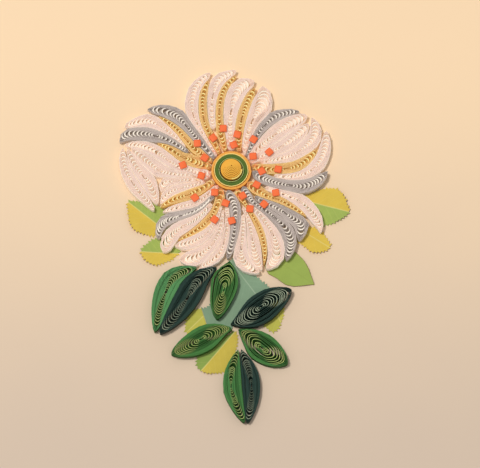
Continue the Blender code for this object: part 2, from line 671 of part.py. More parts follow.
def build():
    """Build the whole flower."""
    empty_scene()
    flower = new_collection("quilled_paper_flower")
    cutters = new_collection("joined_blocks")

    cut_outlines = []
    for leaf in CUT_LEAVES:
        outline = cut_outline(leaf)
        cut_outlines.append(outline)
        plate(leaf.name, [outline], 0.0, SHEET_THICKNESS, leaf.paper, flower)

    petals = TOP_PETALS + RIGHT_PETALS + BOTTOM_PETALS + LEFT_PETALS + UPPER_LEFT_PETALS
    coils = pinched_coils(petals + LEAVES)

    petal_coils = coils[:len(petals)]
    spots = np.array(STAMENS)
    carriers = np.argmin([coil.claim(spots) for coil in petal_coils], axis=0)
    for index, coil in enumerate(coils):
        outline = coil.outline()
        bottom = SEAT if overlaps(outline, cut_outlines) else 0.0
        made = plate(coil.coil.name, [outline] + coil.slots(), bottom, STRIP_HEIGHT,
                     coil.coil.paper, flower)
        carried = np.nonzero(carriers == index)[0]
        if len(carried):
            made = as_mesh(made, flower)
        for number in carried:
            add_stamen(int(number), STAMENS[number], made, coil, bottom + STRIP_HEIGHT, cutters)

    coil_ring("centre_ring_orange", ORANGE_INNER, ORANGE_WALL, STRIP_HEIGHT, 1, "ring_orange",
              flower)
    coil_ring("centre_ring_green", GREEN_INNER, GREEN_WALL, GREEN_HEIGHT, 2, "ring_green",
              flower)
    domed_coil(flower)


if __name__ == "__main__":
    build()
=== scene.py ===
"""Looks of the quilled paper flower.

Each petal and leaf is a strip of paper wound into a long coil: its turns lie packed along both
sides, and each turn ends in a round nose a step further in than the turn outside it. The centre is
three round coils, the stamens are squares of red paper on dabs of glue, and the flat leaves under
the flower are cut from sheet. Lengths are in millimetres until a mesh is made.
"""

from __future__ import annotations

import logging
import math
from dataclasses import dataclass, field, replace
from enum import Enum

import bmesh
import bpy
import numpy as np
from mathutils import Matrix, Vector

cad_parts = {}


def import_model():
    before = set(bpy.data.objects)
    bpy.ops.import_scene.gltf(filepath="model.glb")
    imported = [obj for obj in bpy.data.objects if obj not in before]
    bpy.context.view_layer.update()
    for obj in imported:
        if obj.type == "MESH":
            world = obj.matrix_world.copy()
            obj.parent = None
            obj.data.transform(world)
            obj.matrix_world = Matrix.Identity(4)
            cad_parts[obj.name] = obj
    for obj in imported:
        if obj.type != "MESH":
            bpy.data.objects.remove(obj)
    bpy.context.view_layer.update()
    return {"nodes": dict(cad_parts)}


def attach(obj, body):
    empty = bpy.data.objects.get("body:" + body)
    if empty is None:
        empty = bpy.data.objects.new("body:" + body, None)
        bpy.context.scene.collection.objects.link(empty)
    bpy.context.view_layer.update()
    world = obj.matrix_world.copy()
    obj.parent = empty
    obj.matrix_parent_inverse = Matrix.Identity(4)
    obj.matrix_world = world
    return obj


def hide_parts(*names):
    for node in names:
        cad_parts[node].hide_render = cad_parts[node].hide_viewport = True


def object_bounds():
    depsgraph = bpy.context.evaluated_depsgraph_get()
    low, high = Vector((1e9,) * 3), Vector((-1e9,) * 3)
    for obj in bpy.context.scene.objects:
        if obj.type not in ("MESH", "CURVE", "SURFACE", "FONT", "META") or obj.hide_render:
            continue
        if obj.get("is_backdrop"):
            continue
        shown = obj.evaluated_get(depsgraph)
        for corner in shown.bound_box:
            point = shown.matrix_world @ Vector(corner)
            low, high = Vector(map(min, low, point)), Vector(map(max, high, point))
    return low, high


log = logging.getLogger("quilled_flower")

MM = 0.001
BODY = "root"
STRIP_HEIGHT = 3.2
# Heights closer than this are one flat face.
FLAT = 0.01
# How far the camera's slanting view moves a wall's foot, for each millimetre of height.
VIEW_LEAN = 0.268
# A wall that faces out this way shows the camera its inner side.
FAR_SIDE = np.array((0.6, 1.0))
# The least length that is divided by.
TINY = 1e-6
# Edges that bend by more degrees than this stay sharp.
STRIP_CREASE = 50.0
SHEET_CREASE = 35.0
# What is added to a coil's or a stamen's number to seed its own chances.
RIM_SEEDS = 500
STAMEN_SEEDS = 100
Colour = tuple[float, float, float]
Spot = tuple[float, float]


def srgb(red: int, green: int, blue: int) -> Colour:
    """Turn a screen colour into the linear one that a shader takes.

    Args:
        red: Red, from 0 to 255.
        green: Green, from 0 to 255.
        blue: Blue, from 0 to 255.

    Returns:
        The linear colour.
    """
    shares = np.array((red, green, blue)) / 255.0
    linear = np.where(shares <= 0.04045, shares / 12.92, ((shares + 0.055) / 1.055) ** 2.4)
    return tuple(float(share) for share in linear)


def smoothstep(low: float, high: float, value: np.ndarray) -> np.ndarray:
    """Rise smoothly from 0 where the value is low to 1 where it is high."""
    share = np.clip((value - low) / (high - low), 0.0, 1.0)
    return share * share * (3.0 - 2.0 * share)


class Socket:
    """An output of a node, with the arithmetic that shader maths needs."""

    def __init__(self, tree: Tree, socket: bpy.types.NodeSocket) -> None:
        """Wrap one socket of a tree."""
        self.tree = tree
        self.socket = socket

    def _math(self, operation: str, *values: Socket | float) -> Socket:
        """Add a Math node on these values."""
        return self.tree.node("ShaderNodeMath", {"operation": operation}, dict(enumerate(values)))

    def __add__(self, other: Socket | float) -> Socket:
        """Add."""
        return self._math("ADD", self, other)

    __radd__ = __add__

    def __sub__(self, other: Socket | float) -> Socket:
        """Subtract."""
        return self._math("SUBTRACT", self, other)

    def __rsub__(self, other: float) -> Socket:
        """Subtract from a number."""
        return self._math("SUBTRACT", other, self)

    def __mul__(self, other: Socket | float) -> Socket:
        """Multiply."""
        return self._math("MULTIPLY", self, other)

    __rmul__ = __mul__

    def __truediv__(self, other: Socket | float) -> Socket:
        """Divide."""
        return self._math("DIVIDE", self, other)

    def __rtruediv__(self, other: float) -> Socket:
        """Divide a number."""
        return self._math("DIVIDE", other, self)

    def __abs__(self) -> Socket:
        """Drop the sign."""
        return self._math("ABSOLUTE", self)

    def wave(self) -> Socket:
        """Take the sine."""
        return self._math("SINE", self)

    def ramp(self, low: float, high: float) -> Socket:
        """Rise smoothly from 0 at low to 1 at high."""
        return self.tree.node("ShaderNodeMapRange", {"interpolation_type": "SMOOTHSTEP"},
                              {"Value": self, "From Min": low, "From Max": high})


class Tree:
    """The node tree of one material."""

    def __init__(self, name: str) -> None:
        """Start a material with only its shader."""
        self.material = bpy.data.materials.new(name)
        self.material.use_nodes = True
        self.nodes = self.material.node_tree.nodes
        self.links = self.material.node_tree.links
        self.shader = self.nodes["Principled BSDF"]

    def node(self, kind: str, settings: dict, values: dict, output: int | str = 0) -> Socket:
        """Add a node.

        Args:
            kind: The node's type.
            settings: Its settings, set before its sockets.
            values: A number, colour or Socket for each input, by name or number.
            output: The output that is wanted, by name or number.

        Returns:
            That output.
        """
        made = self.nodes.new(kind)
        for name, value in settings.items():
            setattr(made, name, value)
        for key, value in values.items():
            self.feed(made.inputs[key], value)
        return Socket(self, made.outputs[output])

    def feed(self, target: bpy.types.NodeSocket, value: Socket | float | tuple) -> None:
        """Link or set one input.

        Args:
            target: The input.
            value: A Socket to link, or a number, vector or colour to set.
        """
        if isinstance(value, Socket):
            self.links.new(value.socket, target)
        elif isinstance(value, tuple) and len(value) == 3 and target.type == "RGBA":
            target.default_value = (*value, 1.0)
        else:
            target.default_value = value

    def mix(self, share: Socket | float, start: Socket | Colour, end: Socket | Colour,
            blend: str = "MIX") -> Socket:
        """Mix two colours: a share of 0 gives the start, 1 the end."""
        return self.node("ShaderNodeMix", {"data_type": "RGBA", "blend_type": blend},
                         {0: share, 6: start, 7: end}, 2)

    def attribute(self, name: str) -> Socket:
        """Read a number that the mesh stores."""
        return self.node("ShaderNodeAttribute", {"attribute_name": name}, {}, "Fac")

    def place(self, stretch: tuple[float, float, float] = (1.0, 1.0, 1.0)) -> Socket:
        """Give the place on the object in millimetres.

        Args:
            stretch: How much each axis is stretched.

        Returns:
            The place as a vector.
        """
        spot = self.node("ShaderNodeTexCoord", {}, {}, "Object")
        scale = tuple(axis / MM for axis in stretch)
        return self.node("ShaderNodeVectorMath", {"operation": "MULTIPLY"}, {0: spot, 1: scale})

    def noise(self, spot: Socket, size: float, detail: float = 2.0) -> Socket:
        """Give soft noise around a half, with blotches of a size in millimetres."""
        return self.node("ShaderNodeTexNoise", {},
                         {"Vector": spot, "Scale": 1.0 / size, "Detail": detail}, "Fac")

    def mottle(self, colour: Socket, fibre: Socket, size: float, fibre_depth: float = 0.22,
               blotch_depth: float = 0.16) -> Socket:
        """Lighten and darken a paper's colour by its fibres and by soft blotches.

        Args:
            colour: The colour.
            fibre: The fibres, from 0 to 1.
            size: The size of the blotches.
            fibre_depth: How much the fibres change the colour.
            blotch_depth: How much the blotches change it.

        Returns:
            The mottled colour.
        """
        blotch = self.noise(self.place(), size)
        share = 1.0 + (fibre - 0.5) * fibre_depth + (blotch - 0.5) * blotch_depth
        grey = self.node("ShaderNodeCombineColor", {}, {0: share, 1: share, 2: share})
        return self.mix(1.0, colour, grey, "MULTIPLY")

    def surface(self, colour: Socket, roughness: Socket | float, specular: float,
                height: Socket | None = None, depth: float = 0.0) -> bpy.types.Material:
        """Give the shader its colour, its gloss and its bumps.

        Args:
            colour: The base colour.
            roughness: The roughness.
            specular: The specular level.
            height: The height of its bumps, from 0 to 1, if it has any.
            depth: How many millimetres a height of 1 stands for.

        Returns:
            The material.
        """
        inputs = self.shader.inputs
        self.feed(inputs["Base Color"], colour)
        self.feed(inputs["Roughness"], roughness)
        inputs["Specular IOR Level"].default_value = specular
        if height is not None:
            self.feed(inputs["Normal"], self.node("ShaderNodeBump", {}, {
                "Height": height, "Distance": depth * MM}, "Normal"))
        return self.material


@dataclass(frozen=True)
class Finish:
    """A finish, with the slot of the record that it stands for, if any."""

    name: str
    slot: str | None

    def material(self) -> bpy.types.Material:
        """Return the material, made once."""
        return bpy.data.materials.get(self.name) or self.dress(Tree(self.name))

    def dress(self, tree: Tree) -> bpy.types.Material:
        """Add the finish's nodes to a new material's tree."""
        raise NotImplementedError


@dataclass(frozen=True)
class StripPaper(Finish):
    """Paper for quilling strips.

    A strip's cut edge has the band's colour along a coil's sides and the pale nose colour, a
    painted highlight, where it bends. Its inner faces give off a painted glow, for light that
    passes through the paper, and a painted orange reflection lies on it near the centre.
    """

    band: Colour
    nose: Colour
    face: Colour
    # The strength of a painted glow: the inner faces give off light, standing for light that
    # passes through the thin paper.
    glow: float = 0.0
    # The colour and strength of a painted orange reflection near the flower's centre.
    painted_reflection: Colour | None = None
    painted_reflection_strength: float = 0.65
    roughness: float = 0.72

    def dress(self, tree: Tree) -> bpy.types.Material:
        """Dress the strip with fibres, soft blotches, painted highlights on its noses, faces of
        their own colour, a painted glow and a painted orange reflection near the centre.

        Args:
            tree: The material's tree.

        Returns:
            The material.
        """
        fibre = tree.noise(tree.place((1.0, 1.0, 0.25)), size=0.16, detail=3.0)
        cut = tree.attribute("edge")
        # The pale nose colour, where a strip bends, is a painted highlight.
        colour = tree.mix(cut, self.face, tree.mix(tree.attribute("nose"), self.band, self.nose))
        # Painted reflection: soft patches of orange near the flower's axis.
        if self.painted_reflection:
            patch = tree.noise(tree.place(), size=1.6).ramp(0.46, 0.6)
            share = tree.attribute("warm") * patch * self.painted_reflection_strength
            colour = tree.mix(share, colour, self.painted_reflection)
        # Painted glow: the inner faces give off a faint light of their own colour.
        if self.glow:
            lit = tree.attribute("inner") * (1.0 - cut)
            through = tuple(self.glow * part for part in self.face)
            tree.feed(tree.shader.inputs["Emission Color"],
                      tree.mix(lit, (0.0, 0.0, 0.0), through))
            tree.shader.inputs["Emission Strength"].default_value = 1.0
        return tree.surface(tree.mottle(colour, fibre, size=4.0),
                            self.roughness + (fibre - 0.5) * 0.2, specular=0.3,
                            height=fibre, depth=0.03)


class Strip(Enum):
    """The papers that the strips are cut from, with the painted glow of their inner faces."""

    # Each paper gives the band's colour, the pale nose colour, which is a painted highlight, and
    # the face's colour.
    WHITE = StripPaper("white_strip", "paper_white", srgb(231, 205, 193), srgb(255, 247, 226),
                       srgb(248, 232, 218), glow=0.15, painted_reflection=srgb(240, 140, 88))
    ORANGE = StripPaper("orange_strip", "paper_orange", srgb(233, 189, 122),
                        srgb(255, 240, 164), srgb(228, 188, 106), glow=0.13,
                        painted_reflection=srgb(242, 122, 58))
    GREY = StripPaper("grey_strip", "paper_grey", srgb(188, 175, 168), srgb(255, 244, 228),
                      srgb(192, 181, 172), glow=0.12)
    LEAF_LIGHT = StripPaper("light_green_strip", "paper_leaf_light", srgb(82, 142, 84),
                            srgb(206, 220, 140), srgb(44, 92, 30), glow=0.04)
    # A darker copy of the light green strip for the lower pair of leaves: painted shade, as the
    # light falls off down the picture.
    LEAF_LOW_LIGHT = StripPaper("low_light_green_strip", "paper_leaf_light", srgb(66, 124, 62),
                                srgb(200, 216, 130), srgb(38, 82, 28), glow=0.04)
    LEAF_MID = StripPaper("mid_green_strip", "paper_leaf_mid", srgb(64, 120, 56),
                          srgb(202, 218, 128), srgb(38, 84, 28), glow=0.05)
    LEAF_DARK = StripPaper("dark_green_strip", "paper_leaf_dark", srgb(25, 54, 46),
                           srgb(186, 202, 172), srgb(16, 38, 32), glow=0.04)
    DOME = StripPaper("yellow_strip", "paper_dome_yellow", srgb(236, 178, 66),
                      srgb(244, 218, 122), srgb(222, 158, 54), glow=0.04)
    RING_PALE = StripPaper("pale_green_strip", "paper_ring_green", srgb(186, 204, 124),
                           srgb(200, 214, 140), srgb(140, 160, 80), glow=0.05)
    RING_GREEN = StripPaper("ring_green_strip", "paper_ring_green", srgb(80, 108, 34),
                            srgb(146, 176, 84), srgb(50, 80, 22))
    RING_YELLOW = StripPaper("ring_yellow_strip", "paper_dome_yellow", srgb(248, 226, 134),
                             srgb(250, 228, 140), srgb(236, 206, 104), glow=0.12)
    RING_ORANGE = StripPaper("ring_orange_strip", "paper_ring_orange", srgb(236, 168, 74),
                             srgb(240, 180, 90), srgb(224, 148, 58), glow=0.14)


@dataclass(frozen=True)
class StamenPaper(Finish):
    """Red paper of the stamens, deeper in colour towards its edges."""

    colour: Colour
    deep: Colour
    roughness: float = 0.6

    def dress(self, tree: Tree) -> bpy.types.Material:
        """Dress the paper with fibres and with its deeper edges.

        Args:
            tree: The material's tree.

        Returns:
            The material.
        """
        fibre = tree.noise(tree.place(), size=0.2, detail=3.0)
        share = tree.attribute("edge") * 0.8 + (fibre - 0.5) * 0.35
        return tree.surface(tree.mix(share, self.colour, self.deep),
                            self.roughness + (fibre - 0.5) * 0.25, specular=0.35,
                            height=fibre, depth=0.02)


@dataclass(frozen=True)
class Glue(Finish):
    """Clear dried glue, glossy and a little uneven."""

    pale: Colour
    deep: Colour
    roughness: float = 0.18

    def dress(self, tree: Tree) -> bpy.types.Material:
        """Dress the glue with soft ripples.

        Args:
            tree: The material's tree.

        Returns:
            The material.
        """
        ripple = tree.noise(tree.place(), size=0.7)
        return tree.surface(tree.mix(ripple * 0.3, self.pale, self.deep),
                            self.roughness + ripple * 0.15, specular=0.5,
                            height=ripple, depth=0.05)


YELLOW_SHEET = srgb(214, 186, 76)
GREEN_SHEET = srgb(156, 176, 88)
PLAIN_SHEET = srgb(151, 171, 83)
TEAL_SHEET = srgb(130, 158, 130)
RED_PAPER = StamenPaper("red_orange_paper", None, srgb(244, 111, 54), srgb(200, 68, 28))
DRIED_GLUE = Glue("dried_glue", None, srgb(236, 214, 186), srgb(214, 186, 150))


@dataclass(frozen=True)
class SheetPaper(Finish):
    """Flat paper of the cut leaves, with a near and a far side of its pale midrib."""

    near: Colour
    far: Colour
    rib: Colour = srgb(226, 214, 140)
    rib_width: float = 0.45
    rib_strength: float = 0.45
    vein_pitch: float = 3.4
    vein_strength: float = 0.07
    # The width and colour of a dark rim along the cut edge: painted shade.
    rim: float = 0.0
    edge_shade_colour: Colour = srgb(120, 96, 60)
    roughness: float = 0.8

    def dress(self, tree: Tree) -> bpy.types.Material:
        """Dress the sheet with two colours, a midrib, faint veins and fibres.

        Args:
            tree: The material's tree.

        Returns:
            The material.
        """
        across, along = tree.attribute("across"), tree.attribute("along")
        fibre = tree.noise(tree.place(), size=0.22, detail=3.0)
        side = (across + (fibre - 0.5) * 0.3).ramp(-0.12, 0.12)
        slant = (along - abs(across) * 0.9) * (2 * math.pi / self.vein_pitch)
        vein = slant.wave().ramp(0.86, 1.0) * self.vein_strength
        colour = tree.mix(vein, tree.mix(side, self.far, self.near), self.rib)
        rib = 1.0 - abs(across).ramp(self.rib_width * 0.35, self.rib_width * 0.75)
        colour = tree.mix(rib * self.rib_strength, colour, self.rib)
        # Painted shade: a dark rim along the whole cut edge.
        if self.rim:
            colour = tree.mix(tree.attribute("rim"), colour, self.edge_shade_colour)
        return tree.surface(tree.mottle(colour, fibre, size=5.0),
                            self.roughness + (fibre - 0.5) * 0.15, specular=0.25,
                            height=fibre + vein * 3.0, depth=0.03)


class Sheet(Enum):
    """The papers that the flat leaves are cut from."""

    GREEN_YELLOW = SheetPaper("green_yellow_sheet", "paper_cut_green", YELLOW_SHEET,
                              GREEN_SHEET)
    YELLOW_GREEN = SheetPaper("yellow_green_sheet", "paper_cut_yellow", YELLOW_SHEET,
                              GREEN_SHEET)
    # A darker copy of the yellow and green sheet for the bottom leaf: painted shade, as the light
    # falls off down the picture.
    SHADED = SheetPaper("shaded_green_yellow_sheet", "paper_cut_yellow", srgb(200, 180, 76),
                        srgb(136, 160, 78))
    YELLOW = SheetPaper("yellow_sheet", "paper_cut_yellow", YELLOW_SHEET, YELLOW_SHEET)
    # The plain leaf has a dark rim of painted shade along its cut edge.
    PLAIN = SheetPaper("plain_green_sheet", "paper_cut_green", PLAIN_SHEET, PLAIN_SHEET,
                       srgb(144, 162, 78), rim=0.26)
    TEAL = SheetPaper("teal_sheet", "paper_cut_teal", TEAL_SHEET, TEAL_SHEET,
                      srgb(176, 196, 168))
    LIME = SheetPaper("lime_sheet", "paper_cut_yellow", srgb(196, 190, 84), srgb(184, 182, 80))


@dataclass(frozen=True)
class Winding:
    """How the turns of a pinched coil lie.

    Attributes:
        steps: From one turn's nose to the next, at the root and at the tip.
        rim: The share of the half width that the outer turns fill, packed close.
        rim_pitch: The width of one of those packed turns.
        rim_step: From one of their noses to the next.
        rim_variety: How much less the rim may be, as a share of itself.
        fill: The share of the half width that all turns fill.
        core: The least share that the last turn reaches.
        least_turn: The length left for the last turn.
        lean: How far the innermost turns lie off the middle, as a share of the half width.
        unevenness: How much the loose turns differ in width.
        arc: The length of a nose's bend, as a share of its half width.
        thickest: The strip's greatest thickness.
        swell: How much thicker a nose is, in those thicknesses.
        cover: The share of the gap beside a wall that the leaning wall hides.
        highlight_dimming: How much weaker the painted highlight is on the innermost nose.
        outer_highlight: How much of the painted highlight the outermost turn gets.
        reach: The widest gap beside the coil that its sides give towards.
    """

    steps: tuple[float, float]
    rim: float
    fill: float
    swell: float
    cover: float
    rim_pitch: float = 0.2
    rim_step: float = 0.3
    rim_variety: float = 0.0
    core: float = 0.0
    least_turn: float = 2.0
    lean: float = 0.14
    unevenness: float = 0.3
    arc: float = 1.05
    thickest: float = 0.17
    highlight_dimming: float = 0.25
    outer_highlight: float = 0.6
    reach: float = 2.4


PETAL = Winding((1.5, 1.55), 0.4, 0.8, 2.2, 0.95, rim_variety=0.35, core=0.94, reach=4.2)
LEAF = Winding((1.15, 1.15), 0.2, 0.92, 0.7, 1.05, least_turn=1.6, lean=0.2, unevenness=0.6,
               arc=1.4, thickest=0.2, highlight_dimming=0.6, outer_highlight=0.0)


class Style(Enum):
    """The windings seen in the flower."""

    WHITE_PETAL = PETAL
    ORANGE_PETAL = replace(PETAL, steps=(1.6, 1.6), rim=0.42, fill=0.78, swell=3.0,
                           rim_variety=0.2, reach=3.4)
    GREY_PETAL = replace(PETAL, steps=(1.5, 1.6), rim=0.42, fill=0.78, swell=3.4, cover=0.7,
                         outer_highlight=0.1, rim_variety=0.2, core=0.9, reach=3.4)
    LOW_LIGHT_LEAF = LEAF
    LOW_DARK_LEAF = replace(LEAF, lean=0.1, highlight_dimming=0.85)
    LIGHT_LEAF = replace(LEAF, steps=(1.2, 1.2), rim=0.36, fill=0.88, unevenness=0.4, swell=0.8)
    MID_LEAF = replace(LEAF, steps=(1.1, 1.1), rim=0.17, fill=0.95, lean=0.1, unevenness=0.7,
                       arc=1.7, thickest=0.22, swell=0.5, highlight_dimming=0.42)
    DARK_LEAF = replace(LEAF, steps=(1.2, 1.2), rim=0.26, fill=0.9, lean=0.12, unevenness=0.5,
                        arc=1.5, highlight_dimming=0.75)
    LONE_DARK_LEAF = replace(LEAF, steps=(1.1, 1.1), rim=0.18, fill=0.95, lean=0.1, arc=1.6,
                             swell=0.6, highlight_dimming=0.3)


# The first word that is found in a coil's name chooses its paper and its winding.
COIL_STYLES = (
    ("_white", Strip.WHITE, Style.WHITE_PETAL),
    ("_orange", Strip.ORANGE, Style.ORANGE_PETAL),
    ("_grey", Strip.GREY, Style.GREY_PETAL),
    ("lower_pair_light", Strip.LEAF_LOW_LIGHT, Style.LOW_LIGHT_LEAF),
    ("lower_pair_dark", Strip.LEAF_DARK, Style.LOW_DARK_LEAF),
    ("light", Strip.LEAF_LIGHT, Style.LIGHT_LEAF),
    ("right_dark", Strip.LEAF_DARK, Style.LONE_DARK_LEAF),
    ("dark", Strip.LEAF_DARK, Style.DARK_LEAF),
    ("leaf", Strip.LEAF_MID, Style.MID_LEAF),
)


class SolidReader:
    """Reads sizes and outlines from the solids of the frame."""

    def __init__(self, node: bpy.types.Object) -> None:
        """Read one node's corners and faces."""
        self.spots = np.array([tuple(vertex.co) for vertex in node.data.vertices]) / MM
        self.faces = [tuple(face.vertices) for face in node.data.polygons]
        self.bottom = float(self.spots[:, 2].min())
        self.top = float(self.spots[:, 2].max())

    def key(self, index: int) -> Spot:
        """Name a corner by its rounded place seen from above, with no minus zero."""
        return tuple(np.round(self.spots[index, :2], 3) + 0.0)

    def loops_at(self, height: float) -> list[np.ndarray]:
        """Find the edges of the flat faces at a height.

        Args:
            height: The height of the faces.

        Returns:
            Each loop's corners, seen from above, the loop with the largest area first.
        """
        edges: set[tuple[Spot, Spot]] = set()
        for face in self.faces:
            if any(abs(self.spots[corner, 2] - height) > FLAT for corner in face):
                continue
            keys = [self.key(corner) for corner in face]
            for start, end in zip(keys, keys[1:] + keys[:1]):
                if (end, start) in edges:
                    edges.remove((end, start))
                else:
                    edges.add((start, end))
        follows = dict(edges)
        loops = []
        while follows:
            start, after = follows.popitem()
            loop = [start]
            while after != start and after in follows:
                loop.append(after)
                after = follows.pop(after)
            loops.append(np.array(loop))
        return sorted(loops, key=lambda loop: -abs(signed_area(loop)))


def signed_area(loop: np.ndarray) -> float:
    """Return a loop's area, positive if it runs anticlockwise."""
    x, y = loop.T
    return float((x * np.roll(y, -1) - np.roll(x, -1) * y).sum() / 2)


def lengths(line: np.ndarray) -> np.ndarray:
    """Return how far along a line each of its points lies."""
    steps = np.linalg.norm(np.diff(line, axis=0), axis=1)
    return np.concatenate(([0.0], np.cumsum(steps)))


def read_line(place: float | np.ndarray, along: np.ndarray, line: np.ndarray) -> np.ndarray:
    """Return the spot at each place along a line whose points lie so far along it."""
    return np.stack([np.interp(place, along, values) for values in line.T], axis=-1)


def spline(points: np.ndarray, steps: int, closed: bool = False) -> np.ndarray:
    """Draw a smooth curve through points.

    Args:
        points: The points.
        steps: How many samples there are from one point to the next.
        closed: Whether the curve returns to its first point.

    Returns:
        The samples, with the last point for an open curve.
    """
    if closed:
        ends = np.vstack((points[-1:], points, points[:2]))
    else:
        ends = np.vstack((2 * points[0] - points[1], points, 2 * points[-1] - points[-2]))
    share = np.linspace(0.0, 1.0, steps, endpoint=False)[:, None]
    drawn = []
    for a, b, c, d in zip(ends, ends[1:], ends[2:], ends[3:]):
        drawn.append(0.5 * (2 * b + (c - a) * share + (2 * a - 5 * b + 4 * c - d) * share ** 2
                            + (3 * b - a - 3 * c + d) * share ** 3))
    if not closed:
        drawn.append(points[-1:])
    return np.vstack(drawn)


def distance_to(spots: np.ndarray, outline: np.ndarray) -> np.ndarray:
    """Return how far each spot is from an outline.

    Args:
        spots: The spots.
        outline: The outline's corners.

    Returns:
        The distances.
    """
    run = np.roll(outline, -1, axis=0) - outline
    offset = spots[:, None, :] - outline[None, :, :]
    square = np.maximum((run ** 2).sum(axis=1), TINY ** 2)
    share = np.clip((offset * run).sum(axis=2) / square, 0.0, 1.0)
    return np.linalg.norm(offset - share[:, :, None] * run[None, :, :], axis=2).min(axis=1)


def contains(spots: np.ndarray, outline: np.ndarray) -> np.ndarray:
    """Return which spots lie inside an outline.

    Args:
        spots: The spots.
        outline: The outline's corners.

    Returns:
        True for each spot inside.
    """
    x, y = spots[:, 0][:, None], spots[:, 1][:, None]
    x1, y1 = outline.T
    x2, y2 = np.roll(outline, -1, axis=0).T
    spans = (y1 > y) != (y2 > y)
    rise = np.where(y2 == y1, 1.0, y2 - y1)
    crossing = spans & (x < x1 + (y - y1) * (x2 - x1) / rise)
    return crossing.sum(axis=1) % 2 == 1


def rotate(spots: np.ndarray, angle: float) -> np.ndarray:
    """Turn spots about the origin, anticlockwise by an angle in radians."""
    cosine, sine = math.cos(angle), math.sin(angle)
    return spots @ np.array(((cosine, sine), (-sine, cosine)))


def store(mesh: bpy.types.Mesh, name: str, values: np.ndarray, domain: str = "POINT") -> None:
    """Store a number under a name on each POINT or FACE of a mesh."""
    layer = mesh.attributes.new(name, "FLOAT", domain)
    layer.data.foreach_set("value", np.asarray(values, dtype=np.float32))


def smooth(mesh: bpy.types.Mesh, crease: float) -> None:
    """Shade a mesh smoothly, but for edges sharper than some degrees."""
    mesh.shade_smooth()
    mesh.set_sharp_from_angle(angle=math.radians(crease))


def finished_mesh(work: bmesh.types.BMesh, name: str, place: Matrix) -> bpy.types.Mesh:
    """Turn closed work into a mesh with its faces turned out.

    Args:
        work: The work, in millimetres, which is freed.
        name: The mesh's name.
        place: Where it goes.

    Returns:
        The mesh, in metres.
    """
    bmesh.ops.recalc_face_normals(work, faces=work.faces[:])
    bmesh.ops.transform(work, matrix=Matrix.Scale(MM, 4) @ place, verts=work.verts)
    mesh = bpy.data.meshes.new(name)
    work.to_mesh(mesh)
    work.free()
    return mesh


def flat_spots(mesh: bpy.types.Mesh) -> np.ndarray:
    """Return a finished mesh's points seen from above, in millimetres."""
    return np.array([tuple(vertex.co) for vertex in mesh.vertices])[:, :2] / MM


def add_piece(mesh: bpy.types.Mesh, finish: Finish, *nodes: str) -> None:
    """Put a finished mesh into the scene as a piece of the flower.

    Args:
        mesh: The mesh, in metres, whose name becomes the piece's.
        finish: Its finish.
        nodes: The nodes that it replaces.
    """
    mesh.materials.append(finish.material())
    piece = bpy.data.objects.new(mesh.name, mesh)
    bpy.context.scene.collection.objects.link(piece)
    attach(piece, BODY)
    if nodes:
        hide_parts(*nodes)
    log.info("%s: %d faces", piece.name, len(mesh.polygons))


@dataclass
class Ribbon:
    """A strip that stands on its edge along a path.

    Attributes:
        path: Its upper edge, seen from above.
        foot: Its lower edge, seen from above.
        thickness: Its thickness at each point of the path.
        bottom: The height of its lower edge.
        top: The height of its upper edge at each point.
        marks: What its mesh stores for each point, by name.
    """

    name: str
    path: np.ndarray
    foot: np.ndarray
    thickness: np.ndarray
    bottom: float
    top: np.ndarray
    marks: dict[str, np.ndarray]

    def mesh(self) -> bpy.types.Mesh:
        """Make the closed strip, with its cut edges marked.

        Returns:
            The mesh, in metres.
        """
        count = len(self.path)
        ahead = np.gradient(self.path, axis=0)
        ahead /= np.maximum(np.linalg.norm(ahead, axis=1), 1e-9)[:, None]
        out = np.column_stack((ahead[:, 1], -ahead[:, 0])) * self.thickness[:, None] / 2
        bottom = np.full(count, self.bottom)
        sides = ((self.path + out, self.top), (self.path - out, self.top),
                 (self.foot - out, bottom), (self.foot + out, bottom))
        rings = np.stack([np.column_stack((spots, height)) for spots, height in sides], axis=1)
        start = 4 * np.arange(count - 1)
        quads = [np.column_stack((start + side, start + after, start + 4 + after,
                                  start + 4 + side))
                 for side, after in ((0, 1), (1, 2), (2, 3), (3, 0))]
        last = 4 * (count - 1)
        ends = ((3, 2, 1, 0), (last, last + 1, last + 2, last + 3))
        made = bpy.data.meshes.new(self.name)
        made.from_pydata((rings.reshape(-1, 3) * MM).tolist(), [],
                         np.vstack((*quads, ends)).tolist())
        cut_sides = (1.0, 0.0, 1.0, 0.0)
        store(made, "edge", np.append(np.repeat(cut_sides, count - 1), (0.0, 0.0)), "FACE")
        for name, values in self.marks.items():
            store(made, name, np.repeat(values, 4))
        smooth(made, STRIP_CREASE)
        return made


